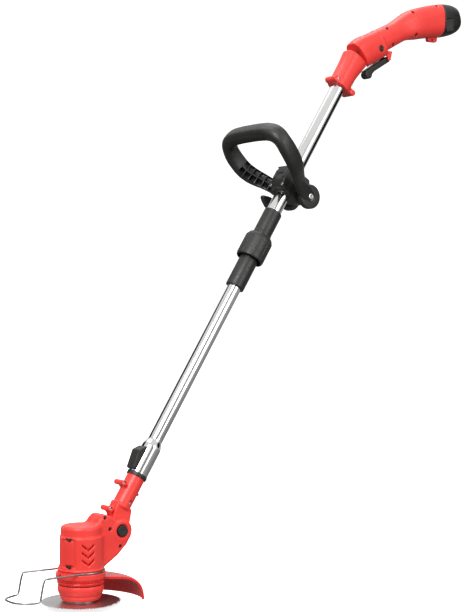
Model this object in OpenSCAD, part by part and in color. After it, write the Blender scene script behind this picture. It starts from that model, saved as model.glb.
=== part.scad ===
// Cordless telescopic lawn edger, millimetres, +Z up.
// Head axis is the world Z axis, the pole leans towards +X in the plane Y = 0.
// Z = 0 is the free lower end of the blade spindle.

/* [Cutting head] */
// blade diameter over the tooth tips
blade_d = 130; // [100:1:160]
// blade thickness
blade_t = 1.4; // [0.8:0.1:2.5]
// number of teeth on the blade rim
blade_teeth = 72; // [24:1:120]
// height of the blade's lower face above the spindle end
blade_z = 10; // [6:0.5:14]
// spindle radius
spindle_r = 4; // [3:0.5:6]
// radius of the spindle's free end below the nut
tip_r = 3; // [2:0.5:4]
// largest radius of the turning drum
drum_r = 37.8; // [30:0.1:45]
// radius of the motor housing
body_r = 36; // [28:0.5:45]
// radius of the housing's lower ring
ring_r = 40.3; // [32:0.1:48]
// radius of the housing's top cap
cap_r = 32.7; // [26:0.1:40]
// housing wall thickness
head_wall = 2.4; // [1.6:0.1:4]
// half width of the head's arm
arm_half = 20.5; // [16:0.5:26]

/* [Blade guard] */
// outer radius of the guard skirt
guard_r = 104.5; // [90:0.5:125]
// angle the guard covers
guard_span = 99; // [60:5:180]
// direction of the guard's first edge
guard_start = -24; // [-90:1:90]
// guard wall thickness
guard_t = 2.4; // [1.6:0.1:4]

/* [Wire plant guard] */
// wire radius
wire_r = 1.6; // [1:0.1:2.5]
// half distance between the two wire legs
wire_half = 33; // [20:1:38]
// how far each wire leg spreads towards its front end
wire_splay = 4; // [0:0.5:8]
// reach of the wire legs in front of the head axis
wire_reach = 87; // [70:1:110]
// height of the wire legs
wire_z = 60.6; // [58:0.1:64]

/* [Pole] */
// lean of the pole from vertical in degrees
lean = 32.57; // [20:0.01:50]
// X of the lower end of the pole
base_x = 106.9; // [80:0.1:140]
// Z of the lower end of the pole
base_z = 205.9; // [180:0.1:240]
// radius of the lower sliding tube
inner_r = 12.5; // [10:0.1:16]
// radius of the upper fixed tube
outer_r = 13.6; // [11:0.1:18]
// radius of the flared lower end
flare_r = 16.8; // [14:0.1:20]
// length of the flared lower end
flare_len = 56; // [40:1:80]
// upper end of the upper tube along the pole
tube_end = 850; // [700:1:1000]
// upper end of the lower tube along the pole
slide_end = 572; // [540:1:640]

/* [Twist lock] */
// radius of the lock collar
collar_r = 25.5; // [20:0.5:32]
// start of the lock collar along the pole
collar_t = 433; // [400:1:460]
// length of the lock collar
collar_len = 48; // [35:1:60]
// radius of the sleeves
sleeve_r = 16.9; // [15:0.1:20]

/* [Loop handle] */
// X of the loop handle's bolt
bolt_x = 453.3; // [430:0.1:480]
// Z of the loop handle's bolt
bolt_z = 684.7; // [660:0.1:710]
// radius of the loop handle's ears
ear_r = 22; // [16:0.5:28]
// wall left behind the channel in the loop's arms
loop_wall = 2.6; // [1.8:0.1:4]

/* [Rear handle] */
// rear handle wall thickness
grip_wall = 2.3; // [1.6:0.1:4]
// X of the plane between handle and battery
split_x = 800; // [780:1:820]
// tilt of the battery axis in degrees
pack_tilt = 12; // [0:1:25]
// diameter of one battery cell
cell_d = 18.4; // [14:0.1:26]
// length of one battery cell
cell_len = 65; // [50:1:70]

/* [Which node] */

/* [Hidden] */
$fn = 72;

run_gap = 0.06;
free_gap = 0.35;
blade_top = blade_z + blade_t;
drum_z0 = blade_top + 1.8;
drum_z1 = 38.5;
collar_z0 = 39.5;
collar_z1 = 48.9;
ring_z0 = 49;
body_top = 117;
cap_top = 134;
pivot_x = 66.5;
pivot_z = 120;
knuckle_r = 19.5;
tongue_half = 12.4;
slot_half = 12.9;
head_red = [0.85, 0.13, 0.11];
black = [0.12, 0.12, 0.12];
steel = [0.75, 0.76, 0.78];

// ---------- shared helpers ----------

module on_pole(t) {
    translate([base_x, 0, base_z]) rotate([0, lean, 0]) translate([0, 0, t]) children();
}

// extrude a side-view outline (x, z) symmetrically about Y = 0
module side(half) {
    rotate([90, 0, 0]) linear_extrude(height = 2 * half, center = true) children();
}

// extrude a side-view outline (x, z) from y0 to y1
module side_between(y0, y1) {
    translate([0, y1, 0]) rotate([90, 0, 0]) linear_extrude(height = y1 - y0) children();
}

// cylinder along Y from y0 to y1
module ycyl(x, z, r, y0, y1) {
    translate([x, y1, z]) rotate([90, 0, 0]) cylinder(r = r, h = y1 - y0);
}

module half_space(sign) {
    translate([-600, sign > 0 ? 0.05 : -400.05, -600]) cube([2400, 400, 2400]);
}

// rounded rectangle made of two squares and four circles
module rrect(w, h, r) {
    square([w - 2 * r, h], center = true);
    square([w, h - 2 * r], center = true);
    for (sx = [-1, 1], sy = [-1, 1])
        translate([sx * (w / 2 - r), sy * (h / 2 - r)]) circle(r = r);
}

// point where a line from a touches a circle at c, on the left (side 1) or right (side -1)
function tangent(a, c, r, s) =
    let(d = c - a, l = norm(d), q = asin(r / l), b = atan2(d[1], d[0]) - s * q, m = sqrt(l * l - r * r))
    [a[0] + m * cos(b), a[1] + m * sin(b)];

function power(v, e) = (v < 0 ? -1 : 1) * pow(abs(v), e);

// closed skin through a list of rings that hold the same number of points
module skin(rings) {
    n = len(rings[0]);
    m = len(rings);
    pts = [for (ring = rings) for (p = ring) p];
    walls = [for (i = [0:m - 2]) for (j = [0:n - 1]) for (k = [0:1])
        let(a = i * n + j, b = i * n + (j + 1) % n, c = a + n, d = b + n)
        k == 0 ? [a, c, b] : [b, c, d]];
    caps = concat([for (j = [1:n - 2]) [0, j, j + 1]],
                  [for (j = [1:n - 2]) [(m - 1) * n, (m - 1) * n + j + 1, (m - 1) * n + j]]);
    polyhedron(points = pts, faces = concat(walls, caps), convexity = 8);
}

// helical spring or coiled lead along +Z
module coil(r, wire, h, turns, steps) {
    rings = [for (i = [0:turns * steps])
        let(a = 360 * i / steps, z = h * i / (turns * steps))
        [for (k = [0:5]) let(b = -60 * k)
            [(r + wire * cos(b)) * cos(a), (r + wire * cos(b)) * sin(a), z + wire * sin(b)]]];
    skin(rings);
}

// ---------- cutter: everything that turns with the spindle ----------

module blade() {
    color(steel)
    difference() {
        translate([0, 0, blade_z]) linear_extrude(height = blade_t)
            polygon([for (i = [0:blade_teeth - 1]) for (k = [0:1])
                let(a = (i + k * 0.62) * 360 / blade_teeth,
                    r = k == 0 ? blade_d / 2 : blade_d / 2 - 2.2 - 0.5 * (i % 3))
                [r * cos(a), r * sin(a)]]);
        translate([0, 0, blade_z - 1]) cylinder(r = spindle_r + run_gap, h = blade_t + 2);
    }
}

module washer(z, r, h) {
    difference() {
        translate([0, 0, z]) cylinder(r = r, h = h);
        translate([0, 0, z - 1]) cylinder(r = spindle_r + run_gap, h = h + 2);
    }
}

module inner_flange() {
    color(steel) washer(blade_top, 26, 1.8);
}

module outer_flange() {
    color(steel) washer(blade_z - 1.4, 16, 1.4);
}

module blade_nut() {
    color(steel)
    difference() {
        translate([0, 0, blade_z - 6.4]) linear_extrude(height = 5)
            polygon([for (i = [0:5]) [7.5 * cos(60 * i), 7.5 * sin(60 * i)]]);
        translate([0, 0, blade_z - 7]) cylinder(r = spindle_r + run_gap, h = 7);
    }
}

module motor_shaft() {
    color(steel) {
        cylinder(r = tip_r, h = 3.6);
        translate([0, 0, 3.5]) cylinder(r = spindle_r, h = 60.5);
        translate([0, 0, 63]) cylinder(r = 2.5, h = 55);
    }
}

module hub_drum() {
    color(head_red)
    difference() {
        rotate_extrude()
            polygon([[spindle_r + run_gap, drum_z0], [28, drum_z0], [31.5, 14.6], [33.3, 18.5],
                [33.6, 19.3], [33.6, 22.6], [34.6, 23.2], [36.6, 26.6], [37.6, 30], [drum_r, 33],
                [37.5, 36.2], [36.6, drum_z1], [34.6, drum_z1], [35.2, 33], [34, 27], [31, 19.5],
                [28.6, 15.6], [9, 15.6], [9, 36], [spindle_r + run_gap, 36]]);
        for (i = [0:5]) rotate(60 * i) translate([19, 0, drum_z0 - 1]) cylinder(r = 4, h = 5, $fn = 32);
    }
}

module motor_rotor() {
    color([0.45, 0.3, 0.2])
    difference() {
        union() {
            for (i = [0:4]) rotate(72 * i)
                translate([6, -3.2, 72.3]) cube([7.6, 6.4, 27.4]);
            translate([0, 0, 72]) cylinder(r = 8.5, h = 28);
            translate([0, 0, 100]) cylinder(r = 4.6, h = 9);
        }
        translate([0, 0, 70]) cylinder(r = 2.5 + run_gap, h = 42);
    }
}

// ---------- motor, fixed in the head ----------

module motor_can() {
    color(steel)
    difference() {
        union() {
            translate([0, 0, 66]) cylinder(r = 18, h = 44);
            translate([0, 0, 63]) cylinder(r = 7, h = 3);
        }
        translate([0, 0, 67.2]) cylinder(r = 17.1, h = 44);
        translate([0, 0, 60]) cylinder(r = spindle_r + 0.4, h = 10);
    }
}

module motor_magnets() {
    color([0.25, 0.25, 0.27])
    for (s = [0, 180]) rotate(s - 65)
        rotate_extrude(angle = 130) translate([14.4, 70]) square([2.5, 32]);
}

module motor_bell() {
    color([0.9, 0.88, 0.82])
    difference() {
        union() {
            translate([0, 0, 106.5]) cylinder(r = 17, h = 3.6);
            translate([0, 0, 110.05]) cylinder(r = 18, h = 2.9);
            translate([0, 0, 112.9]) cylinder(r = 6.5, h = 4);
        }
        translate([0, 0, 105]) cylinder(r = 5.2, h = 8.5);
        translate([0, 0, 105]) cylinder(r = 2.5 + 0.4, h = 20);
        for (s = [-1, 1]) translate([s * 12 - 1.6, -3.1, 105]) cube([3.2, 6.2, 10]);
    }
}

module motor_brushes() {
    color([0.8, 0.6, 0.25])
    for (s = [-1, 1]) {
        translate([s * 12 - 1.5, -3, 108]) cube([3, 6, 12]);
    }
}

// ---------- head shells ----------

function pivot_circle(r, a0, a1, n) =
    [for (i = [0:n]) let(a = a0 + (a1 - a0) * i / n) [pivot_x + r * cos(a), pivot_z + r * sin(a)]];

module arm_outline() {
    translate([pivot_x, pivot_z]) circle(r = knuckle_r);
    polygon([[0, 64], [33, 64.5], [58, 80.5], [76.5, 98], [82, 108], [84.5, 113],
        [66.5, 139.5], [60, 138], [54, 140.5], [47, 145.8], [39, 148.4], [30, 147.6], [21, 142.5], [12, 133], [0, 132]]);
}

module head_solid() {
    rotate_extrude()
        polygon([[0, ring_z0], [ring_r - 0.6, ring_z0], [ring_r, ring_z0 + 0.8], [ring_r, 57.8],
            [ring_r - 0.8, 58.6], [body_r + 0.5, 58.6], [body_r + 0.5, 62.6], [ring_r - 2.2, 62.9],
            [ring_r - 2.2, 64.4], [body_r, 66.4], [body_r - 0.3, body_top - 3],
            [body_r - 1.4, body_top - 0.8], [cap_r + 0.5, body_top], [cap_r, body_top + 1.5],
            [cap_r - 0.1, cap_top - 6], [cap_r - 1.2, cap_top - 2.8], [cap_r - 3.8, cap_top - 0.6],
            [cap_r - 7, cap_top], [0, cap_top]]);
    side(arm_half) arm_outline();
}

module head_cavity() {
    rotate_extrude()
        polygon([[0, ring_z0 + 3], [body_r - head_wall, ring_z0 + 3], [body_r - head_wall, body_top - 3],
            [cap_r - head_wall, body_top], [cap_r - head_wall, cap_top - 6],
            [cap_r - head_wall - 3.5, cap_top - head_wall], [0, cap_top - head_wall]]);
    side(arm_half - 2.8)
        polygon([[20, 69], [33, 68.6], [50, 80], [52, 92], [42, 104], [37, 116], [37, 130],
            [28, 143], [20, 136]]);
}

// the slot that the neck's tongue swings in
module tongue_slot() {
    side(slot_half) {
        translate([pivot_x, pivot_z]) circle(r = 19.2);
        polygon([[48.4, 112], [47.3, 120], [47.2, 126], [52, 145], [56, 170], [130, 170], [130, 140],
            [80.5, 104], [66, 102]]);
    }
}

head_screw_at = [[-30.5, 114.2], [-30.5, 70.5], [34, 144.2], [43.2, 124.8], [62.9, 95.2]];

module head_ribs() {
    for (z = [67.5, 104]) difference() {
        translate([0, 0, z]) cylinder(r = body_r - 1, h = 2.4);
        translate([0, 0, z - 1]) cylinder(r = 18.3, h = 5);
    }
    for (p = head_screw_at) ycyl(p[0], p[1], 3.3, -arm_half + 1, arm_half - 1);
}

module chevron(z) {
    // one V-shaped vent in the side view
    polygon([[-16, z], [-6, z - 8.5], [4.5, z], [4.5, z - 3.4], [-6, z - 12.2], [-16, z - 3.4]]);
}

module head_half(sign) {
    difference() {
        intersection() {
            difference() {
                head_solid();
                difference() {
                    head_cavity();
                    intersection() {
                        head_ribs();
                        head_solid();
                    }
                }
                tongue_slot();
            }
            half_space(sign);
        }
        // spindle bearing and guard screw holes in the floor
        translate([0, 0, 40]) cylinder(r = 7.3, h = 20);
        for (a = [90, 210, 330]) rotate(a) translate([29, 0, 40]) cylinder(r = 1.65, h = 14, $fn = 24);
        // room for the motor
        translate([0, 0, 64]) cylinder(r = 18.2, h = 54);
        // shallow side panel with the front screws
        rotate(sign > 0 ? 134 : 184) rotate_extrude(angle = 42)
            translate([body_r - 1.1, 73]) square([4, 38]);
        // vents
        for (z = [107.5, 95.5, 83.5])
            side_between(sign > 0 ? 28 : -45, sign > 0 ? 45 : -28) chevron(z);
        // screw bores, heads sink into the near side
        for (p = head_screw_at) {
            ycyl(p[0], p[1], 1.55, -18, 13);
            ycyl(p[0], p[1], 3.1, -45, p[0] < 0 ? -16 : -16);
        }
        // pivot pin seat in the far cheek, button well in the near cheek
        ycyl(pivot_x, pivot_z, 4.02, 5, 19);
        ycyl(pivot_x, pivot_z, 9.6, -45, -12);
    }
}

module head_left() {
    color(head_red) head_half(-1);
}

module head_right() {
    color(head_red) head_half(1);
}

module head_screws() {
    color(steel)
    for (p = head_screw_at) difference() {
        union() {
            ycyl(p[0], p[1], 1.5, -16.5, 12.5);
            ycyl(p[0], p[1], 2.8, -18, -16.05);
        }
        translate([p[0] - 1.6, -18.5, p[1] - 0.3]) cube([3.2, 1.2, 0.6]);
        translate([p[0] - 0.3, -18.5, p[1] - 1.6]) cube([0.6, 1.2, 3.2]);
    }
}

module pivot_pin() {
    color(steel) ycyl(pivot_x, pivot_z, 4, -12.2, 18.9);
}

module pivot_button() {
    color(black)
    difference() {
        union() {
            ycyl(pivot_x, pivot_z, 9.2, -22.4, -14.9);
            ycyl(pivot_x, pivot_z, 8.4, -22.9, -22.4);
        }
        ycyl(pivot_x, pivot_z, 7.2, -20.4, -14);
    }
}

module pivot_spring() {
    color(steel)
    translate([pivot_x, -12.9, pivot_z]) rotate([90, 0, 0]) translate([0, 0, 0.4])
        coil(5.6, 0.4, 6.6, 3, 12);
}

// ---------- guard ----------

module guard() {
    color(head_red)
    difference() {
        union() {
            rotate_extrude()
                polygon([[9, 45.9], [34, 45.9], [34, collar_z0 + 0.6], [34.6, collar_z0], [37, collar_z0],
                    [38.2, 41], [38.4, 43.2], [37.6, 44], [37.6, 44.8], [38.9, 45.6], [39, collar_z1], [9, collar_z1]]);
            rotate(guard_start) rotate_extrude(angle = guard_span)
                polygon([[36, 45.6], [60, 44.9], [78.5, 42.7], [90, 37.7], [96.4, 30.6], [100.2, 21.6],
                    [guard_r - guard_t, 8], [guard_r, 8], [102.8, 22], [98.8, 32], [91.8, 39.6], [80, 45.1],
                    [60, 47.4], [36, 48.1]]);
        }
        for (a = [90, 210, 330]) rotate(a) translate([29, 0, 40]) {
            cylinder(r = 1.65, h = 14, $fn = 24);
            cylinder(r = 3.4, h = 7, $fn = 32);
        }
    }
}

module guard_screws() {
    color(steel)
    for (a = [90, 210, 330]) rotate(a) translate([29, 0, 0]) difference() {
        union() {
            translate([0, 0, 45]) cylinder(r = 3, h = 1.95, $fn = 32);
            translate([0, 0, 45]) cylinder(r = 1.6, h = 6.9, $fn = 24);
        }
        translate([-1.6, -0.3, 44.5]) cube([3.2, 0.6, 1.3]);
        translate([-0.3, -1.6, 44.5]) cube([0.6, 3.2, 1.3]);
    }
}

// ---------- wire plant guard ----------

groove_r = 38.6;
groove_a = asin(wire_half / groove_r);

function leg_side(s) = [
    [-sqrt(groove_r * groove_r - wire_half * wire_half) - 4, s * wire_half, wire_z],
    [-wire_reach + 7, s * (wire_half + wire_splay), wire_z + 0.4],
    [-wire_reach + 2, s * (wire_half + wire_splay), wire_z - 1],
    [-wire_reach, s * (wire_half + wire_splay), wire_z - 5],
    [-wire_reach - 6, s * (wire_half + wire_splay), 31],
    [-wire_reach - 8, s * (wire_half + wire_splay), 27],
    [-wire_reach - 13, s * (wire_half + wire_splay - 0.5), 25.4],
    [-wire_reach - 29, s * (wire_half - 4), 25],
    [-wire_reach - 37, s * (wire_half - 12), 25],
    [-wire_reach - 41, s * (wire_half - 22), 25]
];

wire_path = concat(
    [for (i = [9:-1:0]) leg_side(-1)[i]],
    [for (i = [0:28]) let(a = 180 + groove_a + (360 - 2 * groove_a) * i / 28)
        [groove_r * cos(a), groove_r * sin(a), wire_z]],
    leg_side(1)
);

function unit(v) = v / norm(v);

module wire_tube(path, r, seg) {
    n = len(path);
    rings = [for (i = [0:n - 1])
        let(d = unit(path[(i + 1) % n] - path[(i + n - 1) % n]),
            side_v = abs(d[2]) > 0.98 ? [0, 1, 0] : unit(cross([0, 0, 1], d)),
            up_v = cross(side_v, d))
        [for (k = [0:seg - 1]) let(a = -360 * k / seg)
            path[i] + r * cos(a) * side_v + r * sin(a) * up_v]];
    pts = [for (ring = rings) for (p = ring) p];
    faces = [for (i = [0:n - 1]) for (j = [0:seg - 1]) for (k = [0:1])
        let(a = i * seg + j, b = i * seg + (j + 1) % seg,
            c = ((i + 1) % n) * seg + j, d = ((i + 1) % n) * seg + (j + 1) % seg)
        k == 0 ? [a, c, b] : [b, c, d]];
    polyhedron(points = pts, faces = faces, convexity = 10);
}

module wire_guard() {
    color(steel) wire_tube(wire_path, wire_r, 10);
}

// ---------- neck ----------

knuckle = [12.2, -94.1];
neck_r = 15.6;
tongue_top = -60;

neck_screw_at = [[-22.4, -24.6], [-22.4, -72.7], [4.6, -46.8]];

module neck_tongue_outline() {
    a = [-neck_r + 0.4, tongue_top + 4];
    b = [neck_r - 0.4, tongue_top + 4];
    translate(knuckle) circle(r = 18.5);
    polygon([a, tangent(a, knuckle, 18.2, 1), knuckle, tangent(b, knuckle, 18.2, -1), b]);
}

// local pole frame: x along the pole's side, z along the pole
module neck_solid() {
    translate([0, 0, tongue_top]) cylinder(r = neck_r, h = 38 - tongue_top);
    rotate([90, 0, 0]) linear_extrude(height = 2 * tongue_half, center = true) neck_tongue_outline();
    for (t = [-24.6, -72.7]) {
        rotate([90, 0, 0]) linear_extrude(height = 28, center = true) translate([-22.4, t]) circle(r = 4.4);
        rotate([90, 0, 0]) linear_extrude(height = 8, center = true)
            polygon([[-22.4, t - 4.1], [-10, t - 9], [-10, t + 9], [-22.4, t + 4.1]]);
    }
    rotate([90, 0, 0]) linear_extrude(height = 6, center = true) translate([16.6, -26.8]) circle(r = 3);
}

module neck_half(sign) {
    on_pole(0) difference() {
        intersection() {
            difference() {
                neck_solid();
                // hollow for the lead, closed at the knuckle, with a post for one screw
                difference() {
                    translate([0, 0, -57.5]) cylinder(r = neck_r - 2.6, h = 98);
                    translate([4.6, sign > 0 ? 14 : -5, -46.8]) rotate([90, 0, 0])
                        cylinder(r = 4.4, h = sign > 0 ? 11.4 : 9, $fn = 32);
                }
                translate([-9, -4, -80]) cube([14, 8, 30]);
            }
            translate([-100, sign > 0 ? 0.05 : -100.05, -200]) cube([200, 100, 300]);
        }
        translate([12.2, 0, -94.1]) rotate([90, 0, 0]) translate([0, 0, -20]) cylinder(r = 4 + run_gap, h = 40);
        for (p = neck_screw_at) translate([p[0], 0, p[1]]) rotate([90, 0, 0]) {
            translate([0, 0, -10]) cylinder(r = 1.55, h = 22, $fn = 32);
            translate([0, 0, 9.5]) cylinder(r = 3.1, h = 12, $fn = 32);
        }
    }
}

module neck_left() {
    color(head_red) neck_half(-1);
}

module neck_right() {
    color(head_red) neck_half(1);
}

module neck_screws() {
    color(steel)
    on_pole(0) for (p = neck_screw_at) translate([p[0], 0, p[1]]) rotate([90, 0, 0]) difference() {
        union() {
            translate([0, 0, -9]) cylinder(r = 1.5, h = 19, $fn = 32);
            translate([0, 0, 9.55]) cylinder(r = 2.8, h = 2, $fn = 32);
        }
        translate([-1.6, -0.3, 10.6]) cube([3.2, 0.6, 2]);
        translate([-0.3, -1.6, 10.6]) cube([0.6, 3.2, 2]);
    }
}

// ---------- pole tubes ----------

module lower_tube() {
    color(steel)
    on_pole(0) difference() {
        rotate_extrude()
            polygon([[flare_r - 0.8, 0], [flare_r, 0], [flare_r, flare_len], [inner_r, flare_len + 10],
                [inner_r, slide_end - 16], [inner_r - 0.9, slide_end - 16], [inner_r - 0.9, flare_len + 9.8],
                [flare_r - 0.8, flare_len - 0.4]]);
        // slot that the wedge button's tooth slides in
        translate([-flare_r - 2, -4.2, 3.6]) cube([6, 8.4, 13.4]);
    }
}

module neck_ring() {
    color(black)
    on_pole(0) difference() {
        rotate_extrude()
            polygon([[neck_r + free_gap, -3.4], [17.2, -3.4], [17.6, -2.8], [17.6, 2.6], [17.2, 3.2],
                [flare_r + 0.03, 3.2], [flare_r + 0.03, -0.3], [neck_r + free_gap, -0.3]]);
    }
}

module tube_guide() {
    color(black)
    on_pole(0) rotate_extrude()
        polygon([[inner_r - 3, slide_end - 22], [inner_r - 0.95, slide_end - 22], [inner_r - 0.95, slide_end - 15.95],
            [12.79, slide_end - 15.95], [12.79, slide_end], [inner_r - 3, slide_end]]);
}

module straight_lead() {
    color(black)
    on_pole(-54) cylinder(r = 2, h = slide_end + 64, $fn = 24);
}

module wedge_outline() {
    // side view in the pole frame (x sideways, y along the pole)
    polygon([[-12, 4.4], [-18.6, 4.4], [-19.8, 5.6], [-25.6, 34.8], [-24.8, 36.6], [-17, 47.6], [-12, 47.6]]);
}

module wedge_button() {
    color(black)
    on_pole(0) difference() {
        union() {
            rotate([90, 0, 0]) linear_extrude(height = 22, center = true) wedge_outline();
            translate([-18, -3.6, 4.4]) cube([2.05, 7.2, 5.6]);
        }
        difference() {
            translate([0, 0, 3]) cylinder(r = flare_r + free_gap, h = 50);
            translate([-20, -3.6, 4.4]) cube([4.05, 7.2, 5.6]);
        }
        // hollow under the thumb pad
        translate([-23, -8, 12]) cube([7, 16, 20]);
    }
}

module upper_tube() {
    color(steel)
    on_pole(0) rotate_extrude()
        polygon([[12.85, 450], [outer_r, 450], [outer_r, tube_end], [12.85, tube_end]]);
}

module coiled_lead() {
    color(black)
    on_pole(586) coil(8, 1.9, 226, 15, 12);
}

// ---------- twist lock ----------

module collet_sleeve() {
    color(black)
    on_pole(0) difference() {
        rotate_extrude()
            polygon([[inner_r + 0.08, 374], [16.4, 374], [sleeve_r, 374.8], [sleeve_r, 445],
                [sleeve_r, 449], [15.4, 449], [15.4, 470], [outer_r + 0.05, 470], [outer_r + 0.05, 449.6],
                [inner_r + 0.08, 449.6]]);
        for (a = [45:90:315]) rotate(a) translate([10, -0.6, 400]) cube([12, 1.2, 32]);
    }
}

module upper_sleeve() {
    color(black)
    on_pole(0) rotate_extrude()
        polygon([[15.5, 450], [sleeve_r, 450], [sleeve_r, 486], [16.5, 490], [16.5, 533], [15.9, 534],
            [outer_r + 0.03, 534], [outer_r + 0.03, 470.5], [15.5, 470.5]]);
}

module lock_collar() {
    color(black)
    on_pole(0) difference() {
        union() {
            rotate_extrude()
                polygon([[sleeve_r + 0.08, collar_t + 6], [sleeve_r + 0.08, collar_t + collar_len],
                    [21.4, collar_t + collar_len], [collar_r - 0.6, collar_t + collar_len - 5.5],
                    [collar_r - 0.6, collar_t + 1], [collar_r - 1.4, collar_t],
                    [collar_r - 3.4, collar_t], [collar_r - 3.4, collar_t + 6]]);
            for (i = [0:23]) rotate(15 * i) translate([collar_r - 0.8, 0, collar_t + 2])
                cylinder(r = 0.8, h = collar_len - 9, $fn = 16);
        }
    }
}

// ---------- loop handle clamp ----------

clamp_t0 = 572;
clamp_t1 = 622;
boss = [(bolt_x - base_x) * cos(lean) - (bolt_z - base_z) * sin(lean),
    (bolt_x - base_x) * sin(lean) + (bolt_z - base_z) * cos(lean)];

module clamp_ring(r) {
    translate([0, 0, clamp_t0 - 1]) cylinder(r = r, h = clamp_t1 - clamp_t0 + 2);
}

clamp_screw_t = [580, 614];

module clamp_front() {
    color(black)
    on_pole(0) difference() {
        union() {
            translate([0, 0, clamp_t0]) cylinder(r = 19.4, h = clamp_t1 - clamp_t0);
            rotate([90, 0, 0]) linear_extrude(height = 37, center = true)
                polygon([[-0.3, clamp_t0], [-13, clamp_t0], [-22, 580], [-25, 596], [-25, 618], [-21, clamp_t1], [-0.3, clamp_t1]]);
        }
        translate([-0.3, -40, clamp_t0 - 1]) cube([80, 80, 60]);
        clamp_ring(outer_r + 0.03);
        for (t = clamp_screw_t, s = [-1, 1]) translate([-30, s * 16.2, t]) rotate([0, 90, 0]) {
            cylinder(r = 1.55, h = 40, $fn = 32);
            cylinder(r = 3.1, h = 10, $fn = 32);
        }
    }
}

module clamp_rear() {
    color(black)
    on_pole(0) difference() {
        union() {
            rotate([90, 0, 0]) linear_extrude(height = 37, center = true)
                polygon([[0.3, clamp_t0], [30, clamp_t0], [42, 579], [48, 590.4], [42, 602], [26, clamp_t1], [0.3, clamp_t1]]);
            rotate([90, 0, 0]) linear_extrude(height = 43, center = true) translate(boss) circle(r = 14);
        }
        translate([-80.3 + 0.6, -40, clamp_t0 - 1]) cube([80, 80, 60]);
        clamp_ring(outer_r + 0.03);
        for (t = clamp_screw_t, s = [-1, 1]) translate([-30, s * 16.2, t]) rotate([0, 90, 0])
            cylinder(r = 1.55, h = 44, $fn = 32);
        translate([boss[0], 0, boss[1]]) rotate([90, 0, 0]) translate([0, 0, -40]) cylinder(r = 3 + run_gap, h = 80);
    }
}

module clamp_screws() {
    color(steel)
    on_pole(0) for (t = clamp_screw_t, s = [-1, 1]) translate([-20.2, s * 16.2, t]) rotate([0, 90, 0]) difference() {
        union() {
            cylinder(r = 1.5, h = 32, $fn = 32);
            translate([0, 0, -1.8]) cylinder(r = 2.8, h = 1.95, $fn = 32);
        }
        translate([-1.6, -0.3, -2.5]) cube([3.2, 0.6, 1.6]);
        translate([-0.3, -1.6, -2.5]) cube([0.6, 3.2, 1.6]);
    }
}

// ---------- loop handle ----------

// centre line relative to the bolt: [dx, y, dz, half width across the strap, half thickness]
loop_half = [
    [3, 28, -4, 15, 5.2], [-12, 30.5, 8, 14.6, 5.4], [-28, 38, 20, 14, 5.8], [-44, 52.5, 32, 13.8, 6.2],
    [-57, 66, 42, 13.8, 6.8], [-69, 74.4, 53, 14, 7.4], [-80, 77.8, 65.4, 14.2, 8.2], [-90, 78.8, 77.6, 14.5, 9.2],
    [-98, 77, 89, 14.8, 10.5], [-103, 72, 97.4, 15.2, 11.8], [-106.4, 63, 103.4, 15.5, 12.8],
    [-108, 48.5, 106.8, 15.6, 13.2], [-108.6, 31, 108, 15.6, 13.2], [-108.8, 14, 108.4, 15.6, 13.2]
];

loop_line = concat(
    [for (p = loop_half) [[p[0], -p[1], p[2]], p[3], p[4]]],
    [for (i = [len(loop_half) - 1:-1:0]) let(p = loop_half[i]) [[p[0], p[1], p[2]], p[3], p[4]]]
);

loop_last = len(loop_line) - 1;

// ring i of the loop; shift moves it towards the inside, ga and gb grow its two half sizes
function loop_ring(i, shift, ga, gb) =
    let(p = loop_line[i][0],
        d = unit(loop_line[min(i + 1, loop_last)][0] - loop_line[max(i - 1, 0)][0]),
        f = unit([-0.70, 0, -0.71]),
        a = unit(f - d * (f * d)),
        b = cross(a, d),
        ha = loop_line[i][1] + ga, hb = loop_line[i][2] + gb)
    [for (k = [0:19]) let(q = -360 * k / 20)
        [bolt_x, 0, bolt_z] + p + shift * b + ha * power(cos(q), 0.72) * a + hb * power(sin(q), 0.72) * b];

// open channel on the inner face of one arm
module loop_channel(from, to) {
    skin([for (i = [from:to]) loop_ring(i, loop_wall, 0.2 - loop_wall, 0.2)]);
}

module loop_handle() {
    color(black)
    difference() {
        union() {
            skin([for (i = [0:loop_last]) loop_ring(i, 0, 0, 0)]);
            for (s = [-1, 1]) ycyl(bolt_x, bolt_z, ear_r, s > 0 ? 23 : -33.4, s > 0 ? 33.4 : -23);
        }
        ycyl(bolt_x, bolt_z, 3.2, -40, 40);
        loop_channel(2, 8);
        loop_channel(loop_last - 8, loop_last - 2);
        // washer and bolt head sink in the near ear, lever seat in the far ear
        ycyl(bolt_x, bolt_z, 8.5, -40, -31.6);
        ycyl(bolt_x, bolt_z, 12, 33.4, 60);
        for (s = [-1, 1]) ycyl(bolt_x, bolt_z, 30, s > 0 ? 10 : -23, s > 0 ? 23 : -10);
    }
}

module handle_bolt() {
    color(steel)
    difference() {
        union() {
            ycyl(bolt_x, bolt_z, 3, -33, 49);
            ycyl(bolt_x, bolt_z, 5.6, -36, -32.74);
        }
        translate([bolt_x, -33.8, bolt_z]) rotate([90, 0, 0]) linear_extrude(height = 6)
            polygon([for (i = [0:5]) [2.9 * cos(60 * i), 2.9 * sin(60 * i)]]);
    }
}

module bolt_washer() {
    color(steel)
    difference() {
        ycyl(bolt_x, bolt_z, 8, -32.72, -31.62);
        ycyl(bolt_x, bolt_z, 3.2, -40, -20);
    }
}

module cam_lever() {
    color(black)
    difference() {
        union() {
            ycyl(bolt_x, bolt_z, 11, 33.7, 50);
            side_between(38.5, 49) translate([bolt_x, bolt_z])
                polygon([[0, 10], [-10, 5], [-20, -3], [-38, 3], [-50, 5], [-52, 1], [-49, -6], [-43, -15],
                    [-37, -20], [-30, -18], [-14, -12], [0, -11]]);
        }
        ycyl(bolt_x, bolt_z, 3 + run_gap, 20, 60);
    }
}

// ---------- rear handle ----------

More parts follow.
